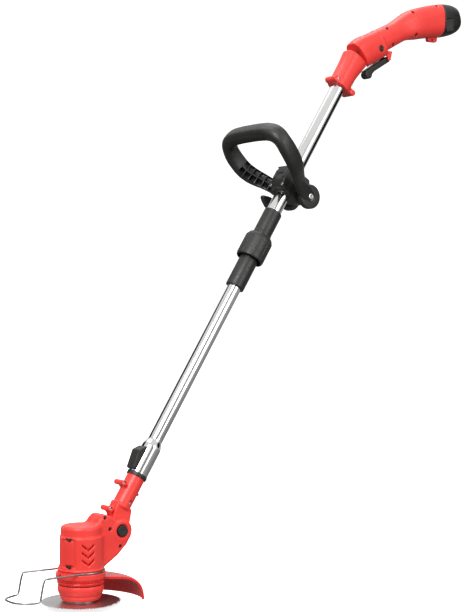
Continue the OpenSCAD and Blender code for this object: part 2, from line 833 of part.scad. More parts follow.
// sections of the handle: [x, z, slope, half height, half width]
grip_sections = [
    [545.2, 891.6, 57.4, 19.4, 19], [562, 917.2, 56.5, 19.6, 19], [576, 936, 52.5, 22, 19.5],
    [586.6, 950.6, 47, 24.6, 20], [592.6, 956, 45, 27.4, 20.6], [604, 964.4, 40, 28, 20.6],
    [625, 974.6, 34, 27.4, 20.2], [647.5, 986.2, 31, 26.4, 19.4], [651.5, 992.4, 30.5, 22.4, 18.8],
    [683, 1008.4, 27.5, 21.6, 17.6],
    [704, 1020, 23.5, 23.2, 17.8], [731, 1031, 17.5, 28.4, 22], [767, 1040.5, 13.5, 30.4, 23.3],
    [790, 1045, 11, 31.6, 24], [812, 1049, 10, 32, 24]
];

function oval(s, grow, n, e) =
    let(up = [-sin(s[2]), 0, cos(s[2])])
    [for (k = [0:n - 1]) let(q = -360 * k / n)
        [s[0], 0, s[1]] + (s[3] + grow) * power(cos(q), e) * up + [0, (s[4] + grow) * power(sin(q), e), 0]];

module grip_skin(grow, from, to) {
    skin([for (i = [from:to]) oval(grip_sections[i], grow, 24, 0.72)]);
}

handle_screw_at = [
    [536.6, 907.6], [568.5, 899.4], [583.2, 961], [656, 1013], [670, 984.4], [722, 1051.5],
    [729, 1009.5], [784, 1071.5]
];

module handle_bosses() {
    for (p = handle_screw_at) ycyl(p[0], p[1], 3.6, -23, 23);
}

module ear_bosses() {
    on_pole(0) {
        for (p = [[-20.6, 819.6], [26.4, 821.5]]) translate([p[0], 14, p[1]]) rotate([90, 0, 0]) cylinder(r = 5.4, h = 28);
        rotate([90, 0, 0]) linear_extrude(height = 28, center = true)
            polygon([[-20.6, 814.6], [26.4, 816.4], [26.4, 826.5], [-20.6, 824.8]]);
    }
}

module handle_shape() {
    intersection() {
        union() {
            grip_skin(0, 0, 14);
            ear_bosses();
        }
        translate([400, -60, 700]) cube([split_x - 0.6 - 400, 120, 500]);
    }
    // cheeks that carry the trigger's pin
    ycyl(663.5, 957.4, 3.8, -12.4, 12.4);
    side(12.4) polygon([[660.2, 958], [666.8, 958], [671, 972], [652, 972]]);
    // strap lug under the battery end
    side(4) polygon([[772, 1016], [772, 1006], [774, 1003.6], [794, 1004.2], [796.5, 1008], [796.5, 1018]]);
}

module tube_socket() {
    // solid collars that hold the tube's end
    on_pole(0) for (t = [[812, 824], [838, 853]]) difference() {
        translate([-40, -30, t[0]]) cube([90, 60, t[1] - t[0]]);
        translate([0, 0, t[0] - 1]) cylinder(r = t[0] < 830 ? outer_r + 0.03 : outer_r + 0.03, h = t[1] - t[0] + 2);
    }
}

module handle_half(sign) {
    difference() {
        intersection() {
            difference() {
                handle_shape();
                difference() {
                    intersection() {
                        grip_skin(-grip_wall, 0, 14);
                        translate([400, -60, 700]) cube([700, 120, 600]);
                    }
                    tube_socket();
                    handle_bosses();
                }
            }
            half_space(sign);
        }
        on_pole(700) cylinder(r = outer_r + 0.03, h = 151);
        // slot for the trigger
        side(8.6) polygon([[601, 930], [611, 906], [640, 925], [673, 952], [671, 968], [655, 965], [612, 944]]);
        // round well of the lock button, near side only
        if (sign < 0) ycyl(636.5, 972.5, 6, -40, -12);
        // trigger pin seats
        ycyl(663.5, 957.4, 1.62, -12, 12);
        // strap eye in the lug
        ycyl(784, 1007.6, 2, -10, 10);
        for (p = handle_screw_at) {
            ycyl(p[0], p[1], 1.55, -18, 12);
            ycyl(p[0], p[1], 3.1, -45, -11);
        }
        // room for the battery's stem and the contacts in front of it
        translate([split_x, 0, 1047]) rotate([0, -pack_tilt, 0]) {
            translate([-56, -15, -14]) cube([10, 30, 28]);
            translate([-47.2, 0, 0]) rotate([90, 0, 90]) linear_extrude(height = 60) rrect(41.2, 41.2, 9.4);
        }
    }
}

module handle_left() {
    color(head_red) handle_half(-1);
}

module handle_right() {
    color(head_red) handle_half(1);
}

module handle_screws() {
    color(steel)
    for (p = handle_screw_at) difference() {
        union() {
            ycyl(p[0], p[1], 1.5, -11.5, 11.5);
            ycyl(p[0], p[1], 2.8, -13, -11.05);
        }
        translate([p[0] - 1.6, -14, p[1] - 0.3]) cube([3.2, 2, 0.6]);
        translate([p[0] - 0.3, -14, p[1] - 1.6]) cube([0.6, 2, 3.2]);
    }
}

// ---------- trigger, switch and lock button ----------

trig_x = 663.5;
trig_z = 957.4;

module trigger() {
    color(black)
    difference() {
        side(8) {
            polygon([[667.4, 952.6], [668.6, 957.4], [663.5, 962.4], [640, 948.6], [618, 935.4], [610, 930],
                [607.4, 923], [609.6, 918.4], [614.4, 915.4], [619.6, 916.2], [622.6, 919], [625, 926.2], [631, 931.4]]);
        }
        ycyl(trig_x, trig_z, 1.6 + run_gap, -20, 20);
        // relief above the finger bulb
        side(5.6) polygon([[658, 957], [640, 946], [628, 938.4], [628, 942.4], [640, 952], [656, 962]]);
    }
}

module trigger_pin() {
    color(steel) ycyl(trig_x, trig_z, 1.6, -11.8, 11.8);
}

module on_switch() {
    translate([637.4, 0, 943.9]) rotate([0, -33.7, 0]) children();
}

module switch_body() {
    color([0.2, 0.2, 0.22])
    on_switch() difference() {
        union() {
            translate([-8, -6.4, 14]) cube([30, 12.8, 17]);
            for (x = [-4, 12]) translate([x, -3, 31]) cube([0.8, 6, 5]);
        }
        translate([0, 0, 10]) cylinder(r = 2.4, h = 12, $fn = 32);
    }
}

module switch_plunger() {
    color([0.7, 0.7, 0.72])
    on_switch() translate([0, 0, 3.4]) cylinder(r = 2, h = 13.6, $fn = 32);
}

module lock_button() {
    color(black)
    difference() {
        ycyl(636.5, 972.5, 5.6, -20, -12.4);
        ycyl(636.5, 972.5, 4, -18, -12);
    }
}

module lock_spring() {
    color(steel)
    translate([636.5, -7.1, 972.5]) rotate([90, 0, 0]) coil(2.9, 0.4, 10, 4, 10);
}

// ---------- battery ----------

module on_pack() {
    translate([split_x, 0, 1047]) rotate([0, -pack_tilt, 0]) children();
}

pack_sections = [
    [790, 1045, 11, 31.6, 24], [806, 1048, 11, 31.8, 24], [822, 1051, 14, 30.2, 23.6],
    [834, 1054, 18, 27.4, 22.4], [843.5, 1057, 21, 22.6, 19.6], [850, 1059, 24, 16.4, 14.6],
    [853.4, 1060, 25, 9.6, 8.6], [854.6, 1060.4, 25, 4, 3.6]
];

module pack_skin(grow, last) {
    skin([for (i = [0:last]) oval(pack_sections[i], grow, 24, 0.72)]);
}

module battery_case() {
    color(black)
    difference() {
        union() {
            intersection() {
                pack_skin(0, 7);
                translate([split_x + 0.6, -50, 900]) cube([100, 100, 300]);
            }
            on_pack() translate([-46, 0, 0]) rotate([90, 0, 90]) linear_extrude(height = 48) rrect(40.4, 40.4, 9);
        }
        intersection() {
            pack_skin(-2.3, 6);
            translate([split_x + 3, -50, 900]) cube([100, 100, 300]);
        }
        on_pack() {
            translate([-44.4, 0, 0]) rotate([90, 0, 90]) linear_extrude(height = 68) rrect(37.6, 37.6, 7.6);
            for (s = [-1, 1]) translate([-48, s * 8 - 2.2, -6]) cube([6, 4.4, 12]);
        }
        // windows for the two latches
        for (s = [-1, 1]) translate([811.8, s * 21, 1036.5]) rotate([0, -pack_tilt, 0])
            cube([20.6, 14, 25.6], center = true);
    }
}

module battery_latch(s) {
    translate([811.8, 0, 1036.5]) rotate([0, -pack_tilt, 0]) {
        translate([-9.8, s > 0 ? 20.6 : -23.4, -12.2]) cube([19.6, 2.8, 24.4]);
        for (i = [0:4]) translate([-7.6 + 3.8 * i, s * 23.4, -11]) cylinder(r = 0.9, h = 22, $fn = 16);
    }
}

module battery_latch_left() {
    color(black) battery_latch(-1);
}

module battery_latch_right() {
    color(black) battery_latch(1);
}

module latch_springs() {
    color(steel)
    translate([811.8, 0, 1036.5]) rotate([0, -pack_tilt, 0]) translate([0, 0, -9.4])
        for (s = [-1, 1]) translate([0, s > 0 ? 10 : -20, 0]) rotate([-90, 0, 0]) coil(1.9, 0.35, 10, 5, 8);
}

module battery_cells() {
    color([0.15, 0.35, 0.7])
    on_pack() for (sy = [-1, 1], sz = [-1, 1])
        translate([-41.5, sy * 9.3, sz * 9.3]) rotate([0, 90, 0]) cylinder(r = cell_d / 2, h = cell_len);
}

module battery_board() {
    color([0.1, 0.4, 0.2])
    on_pack() translate([-43.6, -16, -16]) cube([1.5, 32, 32]);
}

module battery_contacts() {
    color([0.8, 0.65, 0.3])
    on_pack() for (s = [-1, 1]) translate([-45.8, s * 8 - 1.8, -5]) cube([1.9, 3.6, 10]);
}

module socket_contacts() {
    color([0.8, 0.65, 0.3])
    on_pack() {
        for (s = [-1, 1]) translate([-54, s * 8 - 0.6, -4]) cube([7.6, 1.2, 8]);
        translate([-55.6, -14.6, -13.6]) cube([1.6, 29.2, 27.2]);
    }
}

blade();
inner_flange();
outer_flange();
blade_nut();
motor_shaft();
hub_drum();
motor_rotor();
motor_can();
motor_magnets();
motor_bell();
motor_brushes();
head_left();
head_right();
head_screws();
guard();
guard_screws();
pivot_pin();
wire_guard();
pivot_button();
pivot_spring();
neck_left();
neck_right();
neck_screws();
lower_tube();
neck_ring();
tube_guide();
straight_lead();
wedge_button();
collet_sleeve();
upper_sleeve();
lock_collar();
upper_tube();
coiled_lead();
clamp_front();
clamp_rear();
clamp_screws();
loop_handle();
handle_bolt();
bolt_washer();
cam_lever();
handle_left();
handle_right();
handle_screws();
trigger();
trigger_pin();
switch_body();
switch_plunger();
lock_button();
lock_spring();
socket_contacts();
battery_case();
battery_cells();
battery_board();
battery_contacts();
battery_latch_left();
battery_latch_right();
latch_springs();
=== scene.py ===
"""Visual model of a cordless telescopic lawn edger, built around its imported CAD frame.

Lengths in the classes are millimetres in the frame of the part. Shapes with moulded
corners are written as signed fields and turned into quads; turned and bent parts are
revolved or swept directly.
"""

from __future__ import annotations

import logging
import math
from dataclasses import dataclass
from enum import Enum
from typing import Callable, Sequence

import bmesh
import bpy
import mathutils
import numpy as np
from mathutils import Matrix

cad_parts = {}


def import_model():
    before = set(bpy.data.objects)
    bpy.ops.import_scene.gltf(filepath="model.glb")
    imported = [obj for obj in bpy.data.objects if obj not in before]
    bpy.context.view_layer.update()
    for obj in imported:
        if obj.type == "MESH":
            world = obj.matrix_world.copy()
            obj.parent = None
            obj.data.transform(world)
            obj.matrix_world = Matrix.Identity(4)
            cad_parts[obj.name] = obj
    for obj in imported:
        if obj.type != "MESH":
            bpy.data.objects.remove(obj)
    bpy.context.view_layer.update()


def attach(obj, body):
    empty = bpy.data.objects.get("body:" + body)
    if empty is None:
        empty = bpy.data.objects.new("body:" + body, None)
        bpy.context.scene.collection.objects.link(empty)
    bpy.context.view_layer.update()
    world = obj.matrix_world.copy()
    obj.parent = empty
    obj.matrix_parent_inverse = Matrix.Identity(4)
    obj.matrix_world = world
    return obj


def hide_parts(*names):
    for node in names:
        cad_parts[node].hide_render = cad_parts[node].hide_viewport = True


log = logging.getLogger("edger")

Points = np.ndarray
Field = Callable[[Points], np.ndarray]
Mesh = tuple[np.ndarray, list]
MM = 0.001


# ---------------------------------------------------------------- places


@dataclass(frozen=True)
class Place:
    """A frame in the plane Y = 0, tilted about Y.

    Attributes:
        x: X of the origin.
        z: Z of the origin.
        tilt: turn about Y in degrees, which leans local z towards +X.
    """

    x: float = 0.0
    z: float = 0.0
    tilt: float = 0.0

    def out(self, p: Points) -> Points:
        """Takes local points to the frame of the part.

        Args:
            p: points, one per row.

        Returns:
            The same points in the frame of the part.
        """
        p = np.asarray(p, float)
        c, s = math.cos(math.radians(self.tilt)), math.sin(math.radians(self.tilt))
        return np.stack(
            [self.x + p[..., 0] * c + p[..., 2] * s, p[..., 1], self.z - p[..., 0] * s + p[..., 2] * c], -1
        )

    def into(self, p: Points) -> Points:
        """Takes points in the frame of the part to this place.

        Args:
            p: points, one per row.

        Returns:
            The same points in local coordinates.
        """
        p = np.asarray(p, float)
        c, s = math.cos(math.radians(self.tilt)), math.sin(math.radians(self.tilt))
        dx, dz = p[..., 0] - self.x, p[..., 2] - self.z
        return np.stack([dx * c - dz * s, p[..., 1], dx * s + dz * c], -1)


WORLD = Place()
POLE = Place(106.9, 205.9, 32.57)
PACK = Place(800.0, 1047.0, -12.0)
LATCH = Place(811.8, 1036.5, -12.0)
# half the gap between the near and far halves of a housing
SEAM = 0.08


# ---------------------------------------------------------------- fields


def polygon(x: np.ndarray, y: np.ndarray, corners: Sequence[tuple[float, float]]) -> np.ndarray:
    """Signed distance to a closed outline in a plane.

    Args:
        x: first coordinate of the points.
        y: second coordinate of the points.
        corners: corners of the outline in order.

    Returns:
        Distance, below zero inside.
    """
    best = np.full(x.shape, np.inf)
    sign = np.ones(x.shape)
    for (ax, ay), (bx, by) in zip(corners, [*corners[1:], corners[0]]):
        ex, ey = bx - ax, by - ay
        wx, wy = x - ax, y - ay
        t = np.clip((wx * ex + wy * ey) / (ex * ex + ey * ey), 0, 1)
        best = np.minimum(best, (wx - ex * t) ** 2 + (wy - ey * t) ** 2)
        above, below, left = y >= ay, y < by, ex * wy > ey * wx
        sign[(above & below & left) | (~above & ~below & ~left)] *= -1
    return sign * np.sqrt(best)


def prism(flat: np.ndarray, along: np.ndarray, edge: float = 1.0) -> np.ndarray:
    """Joins a flat distance and a distance along the third axis, with rounded edges.

    Args:
        flat: signed distance in the plane of the outline.
        along: signed distance to the two end planes.
        edge: radius of the edges.

    Returns:
        Signed distance to the solid.
    """
    a, b = flat + edge, along + edge
    return np.minimum(np.maximum(a, b), 0) + np.hypot(np.maximum(a, 0), np.maximum(b, 0)) - edge


def slab(v: np.ndarray, low: float, high: float) -> np.ndarray:
    """Signed distance to the layer between two planes.

    Args:
        v: coordinate across the layer.
        low: lower plane.
        high: upper plane.

    Returns:
        Distance, below zero between the planes.
    """
    return np.abs(v - (low + high) / 2) - (high - low) / 2


def drum(p: Points, r: float, low: float, high: float, edge: float = 1.0) -> np.ndarray:
    """Signed distance to an upright round solid about the local z axis."""
    return prism(np.hypot(p[:, 0], p[:, 1]) - r, slab(p[:, 2], low, high), edge)


def rod(p: Points, x: float, z: float, r: float, y0: float, y1: float, edge: float = 0.5) -> np.ndarray:
    """Signed distance to a round solid that lies along Y."""
    return prism(np.hypot(p[:, 0] - x, p[:, 2] - z) - r, slab(p[:, 1], y0, y1), edge)


def plate(
    p: Points, corners: Sequence[tuple[float, float]], y0: float, y1: float, edge: float = 1.0
) -> np.ndarray:
    """Signed distance to a side-view outline made thick along Y."""
    return prism(polygon(p[:, 0], p[:, 2], corners), slab(p[:, 1], y0, y1), edge)


def join(a: np.ndarray, b: np.ndarray, blend: float = 0.0) -> np.ndarray:
    """Unites two fields, with a fillet where they meet.

    Args:
        a: first field.
        b: second field.
        blend: size of the fillet.

    Returns:
        The united field.
    """
    if blend <= 0:
        return np.minimum(a, b)
    h = np.clip(0.5 + 0.5 * (b - a) / blend, 0, 1)
    return b + (a - b) * h - blend * h * (1 - h)


def cut(a: np.ndarray, b: np.ndarray, blend: float = 0.0) -> np.ndarray:
    """Takes the second field out of the first, with a soft edge."""
    return -join(-a, b, blend)


def smooth_line(points: Sequence[Sequence[float]], per: int, closed: bool = False) -> np.ndarray:
    """Runs a smooth curve through points.

    Args:
        points: points of any width, in order.
        per: steps between two points.
        closed: whether the last point leads back to the first.

    Returns:
        Points along the curve.
    """
    p = np.asarray(points, float)
    n = len(p)
    spans = n if closed else n - 1
    pick = (lambda i: p[i % n]) if closed else (lambda i: p[min(max(i, 0), n - 1)])
    rows = []
    for i in range(spans):
        a, b, c, d = pick(i - 1), pick(i), pick(i + 1), pick(i + 2)
        for k in range(per):
            t = k / per
            rows.append(
                0.5 * (2 * b + (c - a) * t + (2 * a - 5 * b + 4 * c - d) * t * t
                       + (3 * b - a - 3 * c + d) * t**3)
            )
    if not closed:
        rows.append(p[-1])
    return np.array(rows)


# ---------------------------------------------------------------- meshes


def fine(step: float) -> float:
    """Returns the quad size to use, unchanged."""
    return step * 1.0


def slope(shape: Field, p: Points, h: float) -> Points:
    """Gradient of a field at points, by central differences.

    Args:
        shape: the field.
        p: points.
        h: half the step between samples.

    Returns:
        One gradient for each point.
    """
    out = np.empty_like(p)
    for k in range(3):
        d = np.zeros(3)
        d[k] = h
        out[:, k] = (shape(p + d) - shape(p - d)) / (2 * h)
    return out


def skin(shape: Field, low: Sequence[float], high: Sequence[float], step: float) -> Mesh:
    """Covers the zero surface of a field with quads.

    One vertex lies in each grid cell that the surface crosses, and is then moved onto
    the surface, so that large faces come out smooth and edges get a small round.

    Args:
        shape: the field, in millimetres.
        low: lowest corner of the solid.
        high: highest corner of the solid.
        step: size of a cell.

    Returns:
        Vertices and faces.
    """
    step = fine(step)
    block = 4
    low_c = np.array(low, float) - 1.6 * step
    blocks = np.ceil((np.array(high, float) + 1.6 * step - low_c) / step / block).astype(int)
    shape_n = blocks * block
    centres = low_c + (np.indices(blocks).reshape(3, -1).T + 0.5 - 0.5 / block) * block * step
    rough = shape(centres).reshape(blocks)
    near = np.abs(rough) < 5.2 * step
    value = np.where(rough < 0, -9.0, 9.0)
    for k in range(3):
        value, near = np.repeat(value, block, k), np.repeat(near, block, k)
    spots = np.argwhere(near)
    value[near] = shape(low_c + spots * step)
    inside = value < 0
    cells = tuple(int(n) - 1 for n in shape_n)
    total = np.zeros((*cells, 3), np.float32)
    hits = np.zeros(cells, np.float32)
    for axis in range(3):
        others = [k for k in range(3) if k != axis]
        for a in (0, 1):
            for b in (0, 1):
                start = [0, 0, 0]
                start[others[0]], start[others[1]] = a, b
                first = value[tuple(slice(s, s + c) for s, c in zip(start, cells))]
                start[axis] = 1
                second = value[tuple(slice(s, s + c) for s, c in zip(start, cells))]
                crossed = (first < 0) != (second < 0)
                total[..., axis] += np.where(crossed, first / np.where(crossed, first - second, 1), 0)
                total[..., others[0]] += crossed * a
                total[..., others[1]] += crossed * b
                hits += crossed
    where = np.argwhere(hits > 0)
    index = np.full(cells, -1)
    index[tuple(where.T)] = np.arange(len(where))
    picked = tuple(where.T)
    p = low_c + step * (where + total[picked] / hits[picked][:, None])
    for _ in range(2):
        g = slope(shape, p, 0.04 * step)
        move = shape(p)[:, None] * g / np.maximum((g * g).sum(1), 0.2)[:, None]
        size = np.linalg.norm(move, axis=1)[:, None]
        p = p - move * np.minimum(1, 0.5 * step / np.maximum(size, 1e-9))
    quads = []
    for axis in range(3):
        b, c = (axis + 1) % 3, (axis + 2) % 3
        one = [slice(None)] * 3
        two = [slice(None)] * 3
        one[axis], two[axis] = slice(0, -1), slice(1, None)
        edge = np.argwhere(inside[tuple(one)] != inside[tuple(two)])
        ok = (edge[:, b] > 0) & (edge[:, b] < cells[b]) & (edge[:, c] > 0) & (edge[:, c] < cells[c])
        edge = edge[ok]
        eb, ec = np.eye(3, dtype=int)[b], np.eye(3, dtype=int)[c]
        ring = [index[tuple((edge - d).T)] for d in (eb + ec, ec, 0 * eb, eb)]
        out = inside[tuple(edge.T)]
        q = np.stack(ring, 1)
        quads.append(np.where(out[:, None], q, q[:, ::-1]))
    return p, np.concatenate(quads).tolist()


def loft(rings: Sequence[Points], closed: bool = False, caps: bool = True) -> Mesh:
    """Joins rings of equal length into one skin.

    Args:
        rings: rings of points, in order.
        closed: whether the last ring leads back to the first.
        caps: whether the two end rings are filled.

    Returns:
        Vertices and faces.
    """
    n, m = len(rings[0]), len(rings)
    faces: list = []
    for i in range(m if closed else m - 1):
        for j in range(n):
            a, b = i * n + j, i * n + (j + 1) % n
            c, d = ((i + 1) % m) * n + j, ((i + 1) % m) * n + (j + 1) % n
            faces.append([a, b, d, c])
    if caps and not closed:
        faces.append(list(range(n))[::-1])
        faces.append([(m - 1) * n + j for j in range(n)])
    return np.concatenate(rings), faces


def turned(
    profile: Sequence[tuple[float, float]], seg: int = 96, start: float = 0.0, span: float = 360.0
) -> Mesh:
    """Revolves a closed outline of (radius, height) about the local z axis.

    Args:
        profile: outline, anticlockwise with the radius to the right.
        seg: steps round the turn.
        start: first angle in degrees.
        span: angle covered in degrees.

    Returns:
        Vertices and faces.
    """
    full = span >= 360
    steps = seg if full else seg + 1
    rings = []
    for i in range(steps):
        a = math.radians(start + span * i / seg)
        rings.append(np.array([[r * math.cos(a), r * math.sin(a), z] for r, z in profile]))
    return loft(rings, closed=full)


def rounded(profile: Sequence[tuple[float, float]], r: float, steps: int = 3) -> list[tuple[float, float]]:
    """Rounds the corners of a closed outline.

    Args:
        profile: corners in order.
        r: largest distance taken off along each side.
        steps: points per corner beyond the first.

    Returns:
        The softened outline.
    """
    n = len(profile)
    out: list[tuple[float, float]] = []
    for i in range(n):
        a, b, c = (np.array(profile[k % n], float) for k in (i - 1, i, i + 1))
        la, lc = np.linalg.norm(a - b), np.linalg.norm(c - b)
        cut_a, cut_c = min(r, 0.42 * la), min(r, 0.42 * lc)
        pa, pc = b + (a - b) / la * cut_a, b + (c - b) / lc * cut_c
        for k in range(steps + 1):
            t = k / steps
            q = (1 - t) ** 2 * pa + 2 * t * (1 - t) * b + t * t * pc
            out.append((float(q[0]), float(q[1])))
    return out


def tube_along(path: Points, r: float, seg: int = 12, closed: bool = False) -> Mesh:
    """Sweeps a round wire along a path without twist.

    Args:
        path: points of the centre line.
        r: radius of the wire.
        seg: sides of the wire.
        closed: whether the wire closes on itself.

    Returns:
        Vertices and faces.
    """
    n = len(path)
    side = None
    rings = []
    for i in range(n):
        a = path[(i - 1) % n] if closed or i else path[0]
        b = path[(i + 1) % n] if closed or i < n - 1 else path[-1]
        d = (b - a) / np.linalg.norm(b - a)
        if side is None:
            side = np.cross([0.1, 0.2, 1.0], d)
        side = side - d * (side @ d)
        side = side / np.linalg.norm(side)
        up = np.cross(d, side)
        q = np.arange(seg) * 2 * math.pi / seg
        rings.append(path[i] + r * np.cos(q)[:, None] * side + r * np.sin(q)[:, None] * up)
    if closed:
        return matched(rings)
    return loft(rings)


def matched(rings: list[Points]) -> Mesh:
    """Closes a run of rings on itself, shifting the seam by the nearest whole step.

    Args:
        rings: rings of equal length, in order.

    Returns:
        The closed mesh.
    """
    seg = len(rings[0])
    shift = min(range(seg), key=lambda k: float(((np.roll(rings[0], -k, 0) - rings[-1]) ** 2).sum()))
    p, faces = loft(rings, caps=False)
    last = (len(rings) - 1) * seg
    for j in range(seg):
        a, b = last + j, last + (j + 1) % seg
        faces.append([a, b, (j + 1 + shift) % seg, (j + shift) % seg])
    return p, faces


def merged(meshes: Sequence[Mesh]) -> Mesh:
    """Puts several meshes into one.

    Args:
        meshes: meshes to put together.

    Returns:
        One mesh that holds them all.
    """
    points, faces, n = [], [], 0
    for p, f in meshes:
        points.append(p)
        faces += [[i + n for i in q] for q in f]
        n += len(p)
    return np.concatenate(points), faces


def shifted(mesh: Mesh, place: Callable[[Points], Points]) -> Mesh:
    """Moves a mesh with a function of its points."""
    return place(np.asarray(mesh[0], float)), mesh[1]


# ---------------------------------------------------------------- finishes

Colour = tuple[float, float, float]


class Slot(Enum):
    """Material slots that the finishes belong to."""

    BLADE = "blade_steel"
    FLANGE = "flange_steel"
    SHAFT = "shaft_steel"
    RED = "red_plastic"
    BLACK = "black_plastic"
    TUBE = "tube_steel"
    WIRE = "wire_steel"
    SCREW = "screw_steel"
    MOTOR = "motor_steel"
    MAGNET = "magnet"
    WINDING = "winding"
    BELL = "bell_plastic"
    BRASS = "brass"
    SPRING = "spring_steel"
    LEAD = "lead_rubber"
    SWITCH = "switch_plastic"
    CELL = "cell_wrap"
    BOARD = "board"


class Grain(Enum):
    """How the fine marks of a finish lie."""

    EVEN = "even"
    POLE = "along the pole"
    RINGS = "round the spindle"


@dataclass(frozen=True)
class Finish:
    """One finish of the tool.

    Attributes:
        name: name of the material.
        slot: the material slot that it belongs to; not used.
        base: main colour, linear.
        second: colour that it drifts to in soft patches.
        edge: colour of worn outer edges.
        rough: middle roughness.
        rough_span: how far roughness drifts.
        metal: 1 for bare metal.
        fine: marks per metre of the fine grain.
        bump: height of the fine grain in millimetres.
        patch: soft patches per metre.
        wear: how much of an edge wears through, from 0 to 1.
        grain: direction of the fine marks.
        aniso: stretch of the highlight on turned or drawn metal.
        coat: strength of a clear gloss layer.
    """

    name: str
    slot: Slot
    base: Colour
    second: Colour
    edge: Colour
    rough: float
    rough_span: float = 0.08
    metal: float = 0.0
    fine: float = 2200.0
    bump: float = 0.02
    patch: float = 22.0
    wear: float = 0.3
    grain: Grain = Grain.EVEN
    aniso: float = 0.0
    coat: float = 0.0

    def material(self) -> bpy.types.Material:
        """Returns the Blender material of this finish, made on first use."""
        found = bpy.data.materials.get(self.name)
        if found:
            return found
        mat = bpy.data.materials.new(self.name)
        mat.use_nodes = True
        tree = mat.node_tree
        tree.nodes.clear()
        add, link = tree.nodes.new, tree.links.new
        shader, end = add("ShaderNodeBsdfPrincipled"), add("ShaderNodeOutputMaterial")
        link(shader.outputs[0], end.inputs[0])
        shader.inputs["Metallic"].default_value = self.metal
        shader.inputs["Anisotropic"].default_value = self.aniso
        shader.inputs["Coat Weight"].default_value = self.coat
        shader.inputs["Coat Roughness"].default_value = 0.12
        place = add("ShaderNodeTexCoord").outputs["Object"]
        marks = self._marks(tree, place)
        patches = self._noise(tree, place, self.patch, 3)
        small = self._noise(tree, marks, self.fine, 2)
        mid = self._noise(tree, marks, self.fine * 0.11, 4)
        tint = self._mix(tree, self._spread(tree, patches, 0.36, 0.64, 0, 1), self.base, self.second)
        edges = add("ShaderNodeNewGeometry").outputs["Pointiness"]
        worn = self._spread(tree, edges, 0.53, 0.6, 0, self.wear)
        patchy = add("ShaderNodeMath")
        patchy.operation = "MULTIPLY"
        link(worn, patchy.inputs[0])
        link(self._spread(tree, mid, 0.4, 0.6, 0.2, 1), patchy.inputs[1])
        link(self._mix(tree, patchy.outputs[0], tint, self.edge), shader.inputs["Base Color"])
        low, high = max(0.02, self.rough - self.rough_span), self.rough + self.rough_span
        link(self._spread(tree, mid, 0.35, 0.65, low, high), shader.inputs["Roughness"])
        bump = add("ShaderNodeBump")
        bump.inputs["Strength"].default_value = 1.0
        bump.inputs["Distance"].default_value = self.bump * MM
        link(small, bump.inputs["Height"])
        link(bump.outputs[0], shader.inputs["Normal"])
        return mat

    def _marks(self, tree: bpy.types.NodeTree, place: bpy.types.NodeSocket) -> bpy.types.NodeSocket:
        """Returns the coordinates that the fine marks follow.

        Args:
            tree: the material's node tree.
            place: object coordinates.

        Returns:
            The socket of the stretched coordinates.
        """
        if self.grain is Grain.EVEN:
            return place
        if self.grain is Grain.POLE:
            turn = tree.nodes.new("ShaderNodeMapping")
            turn.inputs["Rotation"].default_value = (0, -math.radians(POLE.tilt), 0)
            tree.links.new(place, turn.inputs["Vector"])
            thin = tree.nodes.new("ShaderNodeMapping")
            thin.inputs["Scale"].default_value = (1, 1, 0.02)
            tree.links.new(turn.outputs[0], thin.inputs["Vector"])
            return thin.outputs[0]
        flat = tree.nodes.new("ShaderNodeMapping")
        flat.inputs["Scale"].default_value = (1, 1, 0)
        tree.links.new(place, flat.inputs["Vector"])
        size = tree.nodes.new("ShaderNodeVectorMath")
        size.operation = "LENGTH"
        tree.links.new(flat.outputs[0], size.inputs[0])
        pack = tree.nodes.new("ShaderNodeCombineXYZ")
        tree.links.new(size.outputs["Value"], pack.inputs[0])
        return pack.outputs[0]

    @staticmethod
    def _noise(
        tree: bpy.types.NodeTree, place: bpy.types.NodeSocket, scale: float, detail: int
    ) -> bpy.types.NodeSocket:
        """Adds a noise texture and returns its value.

        Args:
            tree: the material's node tree.
            place: coordinates that it is read at.
            scale: marks per metre.
            detail: number of finer layers.

        Returns:
            The socket of its value.
        """
        node = tree.nodes.new("ShaderNodeTexNoise")
        node.inputs["Scale"].default_value = scale
        node.inputs["Detail"].default_value = detail
        tree.links.new(place, node.inputs["Vector"])
        return node.outputs[0]

    @staticmethod
    def _spread(
        tree: bpy.types.NodeTree, value: bpy.types.NodeSocket, a: float, b: float, low: float, high: float
    ) -> bpy.types.NodeSocket:
        """Maps a value from one range to another and returns the result.

        Args:
            tree: the material's node tree.
            value: the value to map.
            a: value that becomes low.
            b: value that becomes high.
            low: start of the new range.
            high: end of the new range.

        Returns:
            The socket of the mapped value.
        """
        node = tree.nodes.new("ShaderNodeMapRange")
        for name, number in (("From Min", a), ("From Max", b), ("To Min", low), ("To Max", high)):
            node.inputs[name].default_value = number
        tree.links.new(value, node.inputs["Value"])
        return node.outputs[0]

    @staticmethod
    def _mix(
        tree: bpy.types.NodeTree,
        factor: bpy.types.NodeSocket,
        a: Colour | bpy.types.NodeSocket,
        b: Colour | bpy.types.NodeSocket,
    ) -> bpy.types.NodeSocket:
        """Mixes two colours by a factor and returns the result.

        Args:
            tree: the material's node tree.
            factor: share of the second colour.
            a: first colour.
            b: second colour.

        Returns:
            The socket of the mixed colour.
        """
        node = tree.nodes.new("ShaderNodeMix")
        node.data_type = "RGBA"
        tree.links.new(factor, node.inputs[0])
        for socket, value in ((node.inputs[6], a), (node.inputs[7], b)):
            if isinstance(value, tuple):
                socket.default_value = (*value, 1)
            else:
                tree.links.new(value, socket)
        return node.outputs[2]


